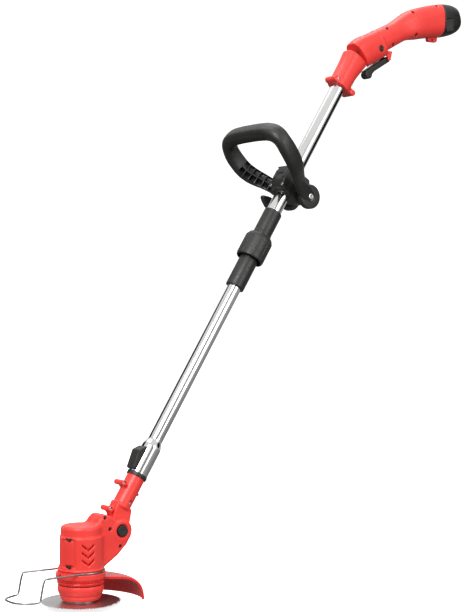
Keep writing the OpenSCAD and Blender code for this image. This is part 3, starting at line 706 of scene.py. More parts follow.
RED_MOULDED = Finish(
    "red_moulded", Slot.RED, (0.86, 0.048, 0.038), (0.80, 0.038, 0.030), (0.9, 0.12, 0.10), 0.36, 0.06,
    bump=0.008
)
RED_GLOSS = Finish(
    "red_gloss_guard", Slot.RED, (0.74, 0.014, 0.010), (0.66, 0.010, 0.008), (0.92, 0.16, 0.13), 0.27,
    0.05, bump=0.005, coat=0.18
)
BLACK_MOULDED = Finish(
    "black_moulded", Slot.BLACK, (0.012, 0.012, 0.011), (0.018, 0.018, 0.017), (0.07, 0.07, 0.068),
    0.42, 0.08, bump=0.022
)
BLACK_GRIP = Finish(
    "black_grip", Slot.BLACK, (0.011, 0.011, 0.010), (0.016, 0.016, 0.015), (0.06, 0.06, 0.058), 0.44,
    0.06, fine=1500, bump=0.035
)
POLISHED_TUBE = Finish(
    "polished_tube", Slot.TUBE, (0.80, 0.80, 0.79), (0.74, 0.74, 0.735), (0.9, 0.9, 0.9), 0.09, 0.03,
    1.0, 1600, 0.0012, 9, 0.1,
    Grain.POLE,
)
BRIGHT_WIRE = Finish(
    "bright_wire", Slot.WIRE, (0.36, 0.36, 0.36), (0.26, 0.26, 0.26), (0.6, 0.6, 0.6), 0.2, 0.05, 1.0,
    900, 0.004
)
GROUND_DISC = Finish(
    "ground_disc", Slot.BLADE, (0.60, 0.60, 0.585), (0.50, 0.50, 0.485), (0.8, 0.8, 0.79), 0.33, 0.05,
    1.0, 2600, 0.0012, 40, 0.6,
    Grain.RINGS, 0.0,
)
TURNED_STEEL = Finish(
    "turned_steel", Slot.FLANGE, (0.60, 0.60, 0.60), (0.50, 0.50, 0.50), (0.8, 0.8, 0.8), 0.3, 0.06,
    1.0, 2400, 0.006, 60, 0.4,
    Grain.RINGS, 0.3,
)
# Darker copy of the flange steel: painted shade for the inner flange, which sits in the shadow under the
# drum.
FLANGE_STEEL_PAINTED_SHADE = Finish(
    "flange_steel_painted_shade", Slot.FLANGE, (0.26, 0.26, 0.26), (0.2, 0.2, 0.2), (0.55, 0.55, 0.55), 0.38,
    0.06, 1.0
)
SHAFT_STEEL = Finish(
    "shaft_steel", Slot.SHAFT, (0.62, 0.62, 0.62), (0.52, 0.52, 0.52), (0.8, 0.8, 0.8), 0.24, 0.06, 1.0
)
BRIGHT_SCREW = Finish(
    "bright_screw", Slot.SCREW, (0.78, 0.78, 0.77), (0.66, 0.66, 0.65), (0.9, 0.9, 0.9), 0.2, 0.06, 1.0
)
# Darker copy of the screw steel: painted shade for screws deep in their wells, added to the real shade that
# the wells cast.
SCREW_STEEL_PAINTED_SHADE = Finish(
    "screw_steel_painted_shade", Slot.SCREW, (0.05, 0.045, 0.045), (0.035, 0.032, 0.032), (0.2, 0.2, 0.2), 0.45, 0.06,
    0.6
)
MOTOR_CAN = Finish(
    "motor_can_steel", Slot.MOTOR, (0.55, 0.55, 0.54), (0.45, 0.45, 0.44), (0.7, 0.7, 0.7), 0.33, 0.08,
    1.0
)
MAGNET = Finish(
    "magnet_ferrite", Slot.MAGNET, (0.06, 0.06, 0.065), (0.09, 0.09, 0.095), (0.2, 0.2, 0.2), 0.55
)
WINDING = Finish(
    "copper_winding", Slot.WINDING, (0.55, 0.24, 0.1), (0.42, 0.17, 0.07), (0.7, 0.4, 0.2), 0.32, 0.1,
    0.7, 900, 0.2
)
BELL = Finish("bell_cream", Slot.BELL, (0.72, 0.69, 0.6), (0.66, 0.63, 0.54), (0.8, 0.78, 0.7), 0.5)
BRASS = Finish(
    "brass_contact", Slot.BRASS, (0.78, 0.56, 0.2), (0.62, 0.42, 0.14), (0.9, 0.7, 0.4), 0.28, 0.06, 1.0
)
SPRING = Finish(
    "spring_wire", Slot.SPRING, (0.6, 0.6, 0.6), (0.5, 0.5, 0.5), (0.8, 0.8, 0.8), 0.25, 0.05, 1.0
)
LEAD = Finish("lead_sheath", Slot.LEAD, (0.02, 0.02, 0.02), (0.03, 0.03, 0.03), (0.06, 0.06, 0.06), 0.6)
SWITCH = Finish(
    "switch_moulding", Slot.SWITCH, (0.05, 0.05, 0.055), (0.07, 0.07, 0.075), (0.14, 0.14, 0.14), 0.45
)
CELL = Finish("cell_wrap_blue", Slot.CELL, (0.03, 0.12, 0.42), (0.025, 0.1, 0.36), (0.1, 0.2, 0.5), 0.3)
BOARD = Finish("board_green", Slot.BOARD, (0.02, 0.16, 0.06), (0.016, 0.12, 0.05), (0.1, 0.25, 0.12), 0.4)

PLAIN_NODES: dict[str, Finish] = {
    # painted shade: the inner flange takes the darkened copy of the flange steel
    "inner_flange": FLANGE_STEEL_PAINTED_SHADE,
    "outer_flange": TURNED_STEEL,
    "blade_nut": TURNED_STEEL,
    "motor_shaft": SHAFT_STEEL,
    "motor_rotor": WINDING,
    "motor_can": MOTOR_CAN,
    "motor_magnets": MAGNET,
    "motor_bell": BELL,
    "motor_brushes": BRASS,
    "guard_screws": BRIGHT_SCREW,
    "pivot_pin": SHAFT_STEEL,
    "pivot_spring": SPRING,
    "tube_guide": BLACK_MOULDED,
    "straight_lead": LEAD,
    "coiled_lead": LEAD,
    "trigger_pin": SHAFT_STEEL,
    "switch_body": SWITCH,
    "switch_plunger": SWITCH,
    "lock_spring": SPRING,
    "socket_contacts": BRASS,
    "battery_cells": CELL,
    "battery_board": BOARD,
    "battery_contacts": BRASS,
    "latch_springs": SPRING,
}


def build(
    name: str, mesh: Mesh, finish: Finish, body: str, *nodes: str, crease: float | None = None
) -> bpy.types.Object:
    """Makes one piece of the visual model and ties it to the frame.

    Args:
        name: name of the piece.
        mesh: vertices in millimetres and faces.
        finish: its finish.
        body: the body that it rides on.
        *nodes: the nodes that it stands for.
        crease: angle in degrees above which an edge stays sharp; none for a soft skin.

    Returns:
        The new object.
    """
    data = bpy.data.meshes.new(name)
    data.from_pydata((np.asarray(mesh[0]) * MM).tolist(), [], mesh[1])
    data.update()
    work = bmesh.new()
    work.from_mesh(data)
    bmesh.ops.recalc_face_normals(work, faces=work.faces)
    work.to_mesh(data)
    work.free()
    data.shade_smooth()
    if crease is not None:
        data.set_sharp_from_angle(angle=math.radians(crease))
    data.materials.append(finish.material())
    obj = bpy.data.objects.new(name, data)
    bpy.context.scene.collection.objects.link(obj)
    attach(obj, body)
    if nodes:
        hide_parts(*nodes)
    log.info("%s: %d faces on %s", name, len(data.polygons), body)
    return obj


class Recess(Enum):
    """The drive cut into a screw head."""

    CROSS = "cross"
    HEX = "hexagon"


def screw(r: float, high: float, shank: float, length: float, recess: Recess = Recess.CROSS) -> Mesh:
    """A screw along local z, its seat at z = 0 and its head above.

    Args:
        r: radius of the head.
        high: height of the head.
        shank: radius of the shank.
        length: length below the seat.
        recess: shape of the drive.

    Returns:
        Vertices and faces.
    """
    q = np.arange(48) * 2 * math.pi / 48
    if recess is Recess.CROSS:
        c, s = np.maximum(np.abs(np.cos(q)), 1e-6), np.maximum(np.abs(np.sin(q)), 1e-6)
        reach, wide = 0.58 * r, 0.15 * r
        drive = np.maximum(np.minimum(reach / c, wide / s), np.minimum(wide / c, reach / s))
    else:
        drive = 0.44 * r / np.cos((q + math.pi / 6) % (math.pi / 3) - math.pi / 6)
    rows = [
        (drive * 0.8, high * 0.45), (drive, high * 0.92), (drive * 0 + 0.72 * r, high), (0.9 * r, high * 0.9),
        (r, high * 0.62), (r, 0.06), (0.96 * r, 0), (shank, 0), (shank, -length + 0.5),
        (shank * 0.7, -length),
    ]
    rings = [np.stack([rr * np.cos(q), rr * np.sin(q), np.full(48, z)], 1) for rr, z in rows]
    return loft(rings)


def facing_near(x: float, z: float, seat: float, place: Place = WORLD) -> Callable[[Points], Points]:
    """Returns a move that turns local z towards the near side, with z = 0 at Y = seat."""
    return lambda p: place.out(np.stack([x + p[:, 0], seat - p[:, 2], z + p[:, 1]], 1))


# ---------------------------------------------------------------- cutting head


@dataclass(frozen=True)
class Cutter:
    """The toothed disc and the red drum above it.

    Attributes:
        tip_r: radius over the tooth tips.
        teeth: number of teeth.
        low: height of the disc's lower face.
        high: height of the disc's upper face.
        hole: radius of the disc's hole.
    """

    tip_r: float = 65.0
    teeth: int = 72
    low: float = 10.0
    high: float = 11.4
    hole: float = 4.1

    def disc(self) -> Mesh:
        """Returns the disc with small uneven hooked teeth."""
        angle, r = [], []
        for i in range(self.teeth):
            deep = 2.2 + 0.5 * (i % 3)
            for t, part in ((0, 0), (0.12, 0.06), (0.42, 0.7), (0.62, 1.0), (0.78, 0.86), (0.93, 0.25)):
                angle.append((i + t) * 2 * math.pi / self.teeth)
                r.append(self.tip_r - deep * part)
        q, rim = np.array(angle), np.array(r)
        flat = np.ones(len(q))
        rows = [
            (self.hole * flat, self.low), (30 * flat, self.low), (58 * flat, self.low), (rim - 1.2, self.low),
            (rim, self.low + 0.5), (rim - 0.1, self.low + 0.8), (rim - 2.0, self.high),
            (58 * flat, self.high),
            (30 * flat, self.high), (self.hole * flat, self.high),
        ]
        rings = [np.stack([rr * np.cos(q), rr * np.sin(q), np.full(len(q), z)], 1) for rr, z in rows]
        return loft(rings, closed=True)

    def drum(self) -> Mesh:
        """Returns the stepped drum that covers the flange."""
        outline = [
            (4.1, 13.3), (28, 13.3), (31.5, 14.7), (33.2, 18.4), (33.6, 19.4), (33.6, 22.6), (34.6, 23.2),
            (36.5, 26.6), (37.5, 30), (37.8, 33), (37.4, 36.4), (36.6, 38.5), (34.6, 38.5), (35.2, 33),
            (34, 27),
            (31, 19.5), (28.6, 15.6), (9, 15.6), (9, 36), (4.1, 36),
        ]
        return turned(rounded(outline, 0.8), 144)

    def build(self) -> None:
        """Builds both pieces on the cutter's body."""
        build("toothed_disc", self.disc(), GROUND_DISC, "cutter", "blade", crease=32)
        build("cutter_drum", self.drum(), RED_MOULDED, "cutter", "hub_drum", crease=50)


ARM_OUTLINE = [
    (0, 64), (33, 64.5), (58, 80.5), (76.5, 98), (82, 108), (84.5, 113), (66.5, 139.5), (60, 138),
    (54, 140.5),
    (47, 145.8), (39, 148.4), (31, 148.0), (24.5, 142.5), (17, 133), (0, 132),
]
SLOT_OUTLINE = [
    (48.4, 112), (47.3, 120), (47.2, 126), (52, 145), (56, 170), (130, 170), (130, 140), (80.5, 104),
    (66, 102),
]
HEAD_SCREWS = [(-30.5, 114.2), (-30.5, 70.5), (34, 144.2), (43.2, 124.8), (62.9, 95.2)]


@dataclass(frozen=True)
class Head:
    """The motor housing, split along the tool's middle plane.

    Attributes:
        body_r: radius of the housing.
        cap_r: radius of its upper part.
        ring_r: radius of the ring above the guard.
        arm_half: half width of the arm.
        pivot: X and Z of the tilting pin.
        knuckle_r: radius of the cheeks round the pin.
        step: size of the quads.
    """

    body_r: float = 36.0
    cap_r: float = 32.7
    ring_r: float = 40.3
    arm_half: float = 20.5
    pivot: tuple[float, float] = (66.5, 120.0)
    knuckle_r: float = 19.5
    step: float = 1.15

    def shell(self, p: Points) -> np.ndarray:
        """Field of both halves together.

        Args:
            p: points.

        Returns:
            Signed distance.
        """
        px, pz = self.pivot
        x, y, z = p.T
        r = np.hypot(x, y)
        body = drum(p, self.body_r, 50, 117, 2.4)
        cap = drum(p, self.cap_r, 60, 134, 6)
        arm = join(
            plate(p, ARM_OUTLINE, -self.arm_half, self.arm_half, 4),
            rod(p, px, pz, self.knuckle_r, -self.arm_half, self.arm_half, 4), 2,
        )
        f = join(join(body, cap, 1.2), arm, 4.5)
        f = cut(f, np.maximum(36.4 - r, slab(z, 57.5, 63.0)), 0.6)
        f = join(f, drum(p, self.ring_r, 49, 58.6, 1.0), 0.3)
        f = join(f, drum(p, 38.1, 62.7, 64.9, 0.7), 0.6)
        slot = np.minimum(plate(p, SLOT_OUTLINE, -12.9, 12.9, 0.2), rod(p, px, pz, 19.2, -12.9, 12.9, 0.2))
        f = cut(f, slot, 0.8)
        turn = np.degrees(np.arctan2(-np.abs(y), x)) % 360
        side = np.maximum((np.abs(turn - 205) - 21) * r * 0.01745, slab(z, 69, 115))
        f = cut(f, np.maximum(side, 34.3 - r), 0.3)
        for low in (68.4, 111.3):
            notch = np.maximum((np.abs(turn - 207) - 13) * r * 0.01745, slab(z, low, low + 4.6))
            f = cut(f, np.maximum(notch, 31.8 - r), 0.3)
        for top in (107.5, 95.5, 83.5):
            vee = [
                (-16, top), (-6, top - 8.5), (4.5, top), (4.5, top - 3.6), (-6, top - 12.4),
                (-16, top - 3.6)
            ]
            f = cut(f, np.maximum(polygon(x, z, vee), 28.5 - np.abs(y)), 0.4)
        for sx, sz in HEAD_SCREWS:
            f = cut(f, rod(p, sx, sz, 3.2, -45, -16, 0.2), 0.5)
        f = cut(f, rod(p, px, pz, 9.7, -45, -12.5, 0.2), 0.9)
        f = cut(f, rod(p, px, pz, 11.2, -45, -19.4, 0.2), 0.5)
        f = cut(f, np.maximum(np.abs(np.hypot(x - px, z - pz) - 12) - 0.9, 19.8 - y), 0.5)
        room = np.minimum(drum(p, 18.3, 62, 131, 1), drum(p, 7.3, 40, 70, 0.1))
        return cut(f, room, 0.2)

    def build(self) -> None:
        """Builds the two halves and their screws."""
        low, high = (-38, -41, 48.5), (87, 41, 149)
        near = skin(
            lambda p: np.maximum(self.shell(p), p[:, 1] + SEAM), low, (high[0], 0.5, high[2]), self.step
        )
        far = skin(
            lambda p: np.maximum(self.shell(p), SEAM - p[:, 1]), (low[0] - 3, -0.5, low[2]), high,
            self.step
        )
        build("head_near_half", near, RED_MOULDED, "head", "head_left")
        build("head_far_half", far, RED_MOULDED, "head", "head_right")
        heads = [shifted(screw(2.8, 1.95, 1.5, 12), facing_near(x, z, -16.05)) for x, z in HEAD_SCREWS]
        # painted shade: the head screws take the darkened copy of the screw steel
        build("head_screw_set", merged(heads), SCREW_STEEL_PAINTED_SHADE, "head", "head_screws", crease=35)
        cap = turned(rounded(
            [(0.01, 0), (7.4, 0), (7.4, 2), (9.2, 2), (9.2, 7), (8.6, 7.8), (4, 7.5), (0.01, 7.4)], 0.5
        ), 64)
        px, pz = self.pivot
        build(
            "tilt_pin_button", shifted(cap, facing_near(px, pz, -14.9)), BLACK_MOULDED, "tilt_button",
            "pivot_button", crease=50
        )


@dataclass(frozen=True)
class Guard:
    """The red blade guard: a collar under the housing and a curved skirt.

    Attributes:
        start: angle of its first edge in degrees.
        span: angle that it covers.
        rim: bottom radius.
        wall: wall thickness.
        bead: thickness of the bead along its cut edges.
    """

    start: float = -24.0
    span: float = 99.0
    rim: float = 104.4
    wall: float = 2.3
    bead: float = 4.2

    def skirt(self) -> Mesh:
        """Returns the skirt, thicker along both cut edges."""
        top = smooth_line(
            [(36, 48.1), (60, 47.4), (72, 46.5), (80, 44.9), (87, 42.3),
             (92, 39.2), (96, 35.4), (99, 31.2), (101.2, 26.5),
             (102.8, 21), (103.9, 14), (self.rim, 8.3)], 4)
        way = np.gradient(top, axis=0)
        out = np.stack([-way[:, 1], way[:, 0]], 1) / np.linalg.norm(way, axis=1)[:, None]
        rings = []
        for i in range(97):
            t = self.span * i / 96
            near_end = min(t, self.span - t)
            thick = self.wall + (self.bead - self.wall) * (1 / (1 + math.exp((near_end - 2.9) * 5)))
            lift = 0.0
            if near_end < 0.7:
                lift = 0.5 * (1 - near_end / 0.7)
            outer, inner = top - out * lift * 0.6, top - out * (thick - lift)
            line = np.concatenate([outer, inner[::-1]])
            a = math.radians(self.start + t)
            rings.append(np.stack([line[:, 0] * math.cos(a), line[:, 0] * math.sin(a), line[:, 1]], 1))
        return loft(rings)

    def collar(self) -> Mesh:
        """Returns the stepped collar under the housing."""
        outline = [
            (9, 45.9), (33.6, 45.9), (33.6, 40), (34.6, 39.5), (37, 39.5), (38.2, 41), (38.4, 43.1),
            (37.6, 44),
            (37.6, 44.9), (38.9, 45.6), (39, 48.9), (9, 48.9),
        ]
        return turned(rounded(outline, 0.5), 128)

    def build(self) -> None:
        """Builds the guard as one piece on the head."""
        build("blade_guard", merged([self.skirt(), self.collar()]), RED_GLOSS, "head", "guard", crease=40)


@dataclass(frozen=True)
class WireHoop:
    """The bright wire that swings down in front of the disc.

    Attributes:
        r: wire radius.
        half: half distance between its legs.
        reach: reach of the legs in front of the spindle.
        high: height of the legs.
        seat: radius of the groove that it is clipped in.
        splay: how far each leg spreads towards its front end.
    """

    r: float = 1.6
    half: float = 33.0
    reach: float = 87.0
    splay: float = 4.0
    high: float = 60.6
    seat: float = 38.6

    def path(self) -> Points:
        """Returns the closed centre line."""
        def leg(s: int) -> list[tuple[float, float, float]]:
            """Points of one leg from the groove to the foot.

            Args:
                s: side of the hoop, -1 or 1.

            Returns:
                The points in order.
            """
            h, c, z = self.half, self.reach, self.high
            w = h + self.splay
            back = math.sqrt(self.seat**2 - h**2)
            return [
                (-back - 4, s * h, z), (-50, s * (h + 1.6), z), (-c + 8, s * (w - 0.3), z),
                (-c + 3.4, s * w, z - 0.3),
                (-c + 1, s * w, z - 1.6), (-c + 0.3, s * w, z - 4.4), (-c - 1.6, s * w, 51),
                (-c - 5.6, s * w, 31),
                (-c - 6.8, s * w, 27.4), (-c - 9.6, s * w, 25.5), (-c - 15, s * (w - 0.8), 25),
                (-c - 29, s * (h - 4), 25),
                (-c - 36.6, s * (h - 12), 25), (-c - 40.6, s * (h - 22), 25),
            ]
        edge = math.asin(self.half / self.seat)
        arc = []
        for i in range(29):
            a = math.pi + edge + (2 * math.pi - 2 * edge) * i / 28
            arc.append((self.seat * math.cos(a), self.seat * math.sin(a), self.high))
        return smooth_line([*leg(-1)[::-1], *arc, *leg(1)], 4, closed=True)

    def build(self) -> None:
        """Builds the hoop on its own body."""
        build(
            "wire_hoop", tube_along(self.path(), self.r, 14, closed=True), BRIGHT_WIRE, "plant_guard",
            "wire_guard"
        )


NECK_SCREWS = [(-22.4, -24.6), (-22.4, -72.7), (4.6, -46.8)]


@dataclass(frozen=True)
class Neck:
    """The neck between the pole and the head, drawn in the pole's frame.

    Attributes:
        r: radius of its round part.
        pin: sideways and lengthways position of the tilting pin.
        tongue: half width of the tongue between the head's cheeks.
    """

    r: float = 15.6
    pin: tuple[float, float] = (12.2, -94.1)
    tongue: float = 12.4

    def shell(self, p: Points) -> np.ndarray:
        """Field of both halves together.

        Args:
            p: points in the pole's frame.

        Returns:
            Signed distance.
        """
        kx, kz = self.pin
        outline = [(-15.2, -55), (-13.4, -70), (-5.2, -98), (4, -104), (12, -95), (29.8, -92), (15.2, -55)]
        tongue = join(
            rod(p, kx, kz, 18.4, -self.tongue, self.tongue, 2.0),
            plate(p, outline, -self.tongue, self.tongue, 2.0), 1,
        )
        f = join(drum(p, self.r, -60, 38, 2.0), tongue, 3)
        for t in (-24.6, -72.7):
            web = [(-22.4, t - 4), (-10, t - 9), (-10, t + 9), (-22.4, t + 4)]
            f = join(f, join(rod(p, -22.4, t, 4.4, -14, 14, 1), plate(p, web, -4, 4, 0.6), 1), 1.5)
        f = join(f, rod(p, 16.6, -26.8, 3, -3, 3, 0.8), 0.8)
        f = cut(f, rod(p, kx, kz, 4.1, -30, 30, 0.1), 0.2)
        for x, z in NECK_SCREWS:
            f = cut(f, rod(p, x, z, 3.15, -25, -9.5, 0.1), 0.4)
        return cut(f, drum(p, 4.5, -57.5, 45, 0.5), 0.2)

    def build(self) -> None:
        """Builds the halves, their screws and the black ring at the pole."""
        low, high = (-28, -16, -114), (33, 16, 39)
        near = skin(lambda p: np.maximum(self.shell(p), p[:, 1] + SEAM), low, (high[0], 0.5, high[2]), 1.1)
        far = skin(lambda p: np.maximum(self.shell(p), SEAM - p[:, 1]), (low[0], -0.5, low[2]), high, 1.1)
        build("neck_near_half", shifted(near, POLE.out), RED_MOULDED, "neck", "neck_left")
        build("neck_far_half", shifted(far, POLE.out), RED_MOULDED, "neck", "neck_right")
        heads = [shifted(screw(2.8, 1.95, 1.5, 17), facing_near(x, z, -9.6, POLE)) for x, z in NECK_SCREWS]
        build("neck_screw_set", merged(heads), BRIGHT_SCREW, "neck", "neck_screws", crease=35)
        ring = turned(rounded(
            [(15.95, -3.4), (17.2, -3.4), (17.6, -2.8), (17.6, 2.6),
             (17.2, 3.2), (16.83, 3.2), (16.83, -0.3), (15.95, -0.3)], 0.4), 96)
        build("neck_black_ring", shifted(ring, POLE.out), BLACK_MOULDED, "lower_pole", "neck_ring", crease=45)


# ---------------------------------------------------------------- pole


@dataclass(frozen=True)
class Pole:
    """The two polished tubes, the twist lock and the sleeves.

    Attributes:
        inner_r: radius of the sliding tube.
        outer_r: radius of the fixed tube.
        flare_r: radius of the widened lower end.
        collar: start and end of the lock collar along the pole.
        collar_r: radius over its ribs.
    """

    inner_r: float = 12.5
    outer_r: float = 13.6
    flare_r: float = 16.8
    collar: tuple[float, float] = (433.0, 481.0)
    collar_r: float = 25.5

    def lower(self) -> Mesh:
        """Returns the sliding tube, which widens smoothly to its lower end."""
        outer = [(self.flare_r, 0.0), (self.flare_r, 50.0)]
        for i in range(13):
            t = i / 12
            ease = t * t * (3 - 2 * t)
            outer.append((self.flare_r + (self.inner_r - self.flare_r) * ease, 52 + 16 * t))
        outer += [(self.inner_r, z) for z in (75, 150, 300, 450, 556)]
        inner = [(r - 0.85, z) for r, z in outer][::-1]
        return turned(outer + inner, 128)

    def ribbed_collar(self) -> Mesh:
        """Returns the lock collar: grooved grips with two smooth facets."""
        q = np.arange(360) * 2 * math.pi / 360
        deg = np.degrees(q)
        rib = 0.85 * np.abs(np.cos(q * 12)) ** 0.7
        smooth_zone = ((deg > 193) & (deg < 284)) | ((deg > 13) & (deg < 104))
        line = np.zeros(360)
        for a in (193, 238.5, 284, 13, 58.5, 104):
            line += np.exp(-(((deg - a + 180) % 360 - 180) / 1.6) ** 2)
        full = np.where(smooth_zone, 24.75, 24.3 + rib * 1.3) + 0.55 * np.minimum(line, 1) * smooth_zone
        full = np.minimum(full, self.collar_r)
        a, b = self.collar
        flat = np.ones(360)
        rows = [
            (17.0 * flat, b), (17.0 * flat, a + 6), (22.1 * flat, a + 6), (22.1 * flat, a + 0.3),
            (22.5 * flat, a),
            (24.0 * flat, a), (24.6 * flat, a + 0.9), (0.4 * full + 0.6 * 24.7, a + 2), (full, a + 3.2),
            (full, b - 8),
            (0.5 * full + 0.5 * 24.5, b - 6.2), (24.2 * flat, b - 5.2), (22.2 * flat, b - 1.2),
            (21.3 * flat, b - 0.2),
            (20.6 * flat, b),
        ]
        rings = [np.stack([r * np.cos(q), r * np.sin(q), np.full(360, z)], 1) for r, z in rows]
        return loft(rings, closed=True)

    def build(self) -> None:
        """Builds the tubes, the sleeves and the collar."""
        build(
            "sliding_tube", shifted(self.lower(), POLE.out), POLISHED_TUBE, "lower_pole", "lower_tube",
            crease=50
        )
        upper = turned(
            [(12.85, 450), (self.outer_r, 450), (self.outer_r, 640), (self.outer_r, 850), (12.85, 850)],
            128
        )
        build("fixed_tube", shifted(upper, POLE.out), POLISHED_TUBE, "rear_handle", "upper_tube", crease=50)
        sleeve = turned(rounded(
            [(12.6, 374), (16.4, 374), (16.9, 374.8), (16.9, 449), (15.4, 449),
             (15.4, 470), (13.66, 470), (13.66, 449.6),
             (12.6, 449.6)], 0.4), 128)
        build(
            "lower_sleeve", shifted(sleeve, POLE.out), BLACK_MOULDED, "rear_handle", "collet_sleeve",
            crease=45
        )
        sleeve = turned(rounded(
            [(15.5, 450), (16.9, 450), (16.9, 486), (16.5, 490),
             (16.5, 532.6), (15.7, 534), (13.65, 534), (13.65, 470.6),
             (15.5, 470.6)], 0.5), 128)
        build(
            "upper_sleeve_cover", shifted(sleeve, POLE.out), BLACK_MOULDED, "rear_handle",
            "upper_sleeve", crease=45
        )
        build(
            "twist_collar", shifted(self.ribbed_collar(), POLE.out), BLACK_GRIP, "lock_collar",
            "lock_collar", crease=48
        )

        def wedge(p: Points) -> np.ndarray:
            """Field of the release wedge in the pole's frame.

            Args:
                p: points.

            Returns:
                Signed distance.
            """
            outline = [
                (-12, 4.6), (-18.6, 4.6), (-19.9, 5.8), (-25.6, 34.8), (-24.8, 36.8), (-17.2, 47.4),
                (-12, 47.4)
            ]
            f = plate(p, outline, -10.9, 10.9, 1.3)
            for t in (14, 18, 22, 26, 30):
                f = cut(f, np.maximum(slab(p[:, 2], t, t + 1.3), p[:, 0] + 20.6 + (t - 10) * 0.2), 0.3)
            return np.maximum(f, self.flare_r + 0.3 - np.hypot(p[:, 0], p[:, 1]))

        mesh = skin(wedge, (-26, -11, 4), (-12, 11, 48), 0.8)
        build("release_wedge", shifted(mesh, POLE.out), BLACK_MOULDED, "wedge", "wedge_button")


# ---------------------------------------------------------------- loop handle


BOLT = (453.3, 684.7)


@dataclass(frozen=True)
class Clamp:
    """The two-part bracket that holds the loop handle on the pole.

    Attributes:
        span: lower and upper end along the pole.
        half: half width.
        boss: position of the bolt boss in the pole's frame.
    """

    span: tuple[float, float] = (572.0, 622.0)
    half: float = 18.5
    boss: tuple[float, float] = (34.17, 589.96)

    def front(self, p: Points) -> np.ndarray:
        """Field of the front part in the pole's frame.

        Args:
            p: points.

        Returns:
            Signed distance.
        """
        a, b = self.span
        outline = [(2, a), (-13, a), (-22, 580), (-25, 596), (-25, 618), (-21, b), (2, b)]
        f = join(drum(p, 19.4, a, b, 2), plate(p, outline, -self.half, self.half, 3), 2)
        for t in (580, 614):
            well = np.maximum(np.hypot(np.abs(p[:, 1]) - 16.2, p[:, 2] - t) - 3.1, p[:, 0] + 19.9)
            f = cut(f, well, 0.3)
        f = cut(f, np.maximum(slab(p[:, 2], 590, 604), np.maximum(p[:, 0] + 23.9, np.abs(p[:, 1]) - 9)), 0.4)
        return np.maximum(np.maximum(f, 13.63 - np.hypot(p[:, 0], p[:, 1])), p[:, 0] + 0.3)

    def rear(self, p: Points) -> np.ndarray:
        """Field of the rear part, which carries the bolt.

        Args:
            p: points.

        Returns:
            Signed distance.
        """
        a, b = self.span
        bx, bt = self.boss
        outline = [(-2, a), (30, a), (42, 579), (48, 590.4), (42, 602), (26, b), (-2, b)]
        f = join(plate(p, outline, -self.half, self.half, 3), rod(p, bx, bt, 14, -21.5, 21.5, 1.2), 1)
        f = cut(f, rod(p, bx, bt, 3.1, -30, 30, 0.1), 0.3)
        return np.maximum(np.maximum(f, 13.63 - np.hypot(p[:, 0], p[:, 1])), 0.3 - p[:, 0])

    def build(self) -> None:
        """Builds both parts and their four screws."""
        mesh = skin(self.front, (-25, -19.5, 571), (0, 19.5, 623), 1.0)
        build("bracket_front", shifted(mesh, POLE.out), BLACK_MOULDED, "rear_handle", "clamp_front")
        mesh = skin(self.rear, (0, -22, 571), (49, 22, 623), 1.0)
        build("bracket_rear", shifted(mesh, POLE.out), BLACK_MOULDED, "rear_handle", "clamp_rear")
        heads = []
        for t in (580, 614):
            for s in (-1, 1):
                heads.append(shifted(
                    screw(2.8, 1.95, 1.5, 30),
                    lambda p, t=t, s=s: POLE.out(
                        np.stack([-20.05 - p[:, 2], s * 16.2 + p[:, 0], t + p[:, 1]], 1))))
        build("bracket_screw_set", merged(heads), BRIGHT_SCREW, "rear_handle", "clamp_screws", crease=35)


LOOP_HALF = [
    (3, 28, -4, 15, 5.2), (-12, 30.5, 8, 14.6, 5.4), (-28, 38, 20, 14, 5.8), (-44, 52.5, 32, 15.6, 6.2),
    (-57, 66, 42, 16.8, 6.8), (-69, 74.4, 53, 17, 7.4), (-80, 77.8, 65.4, 16.8, 8.2),
    (-90, 78.8, 77.6, 16.2, 9.2),
    (-98, 77, 89, 14.8, 10.5), (-103, 72, 97.4, 15.2, 11.8), (-106.4, 63, 103.4, 15.5, 12.8),
    (-108, 48.5, 106.8, 15.6, 13.2), (-108.6, 31, 108, 15.6, 13.2), (-108.8, 14, 108.4, 15.6, 13.2),
]


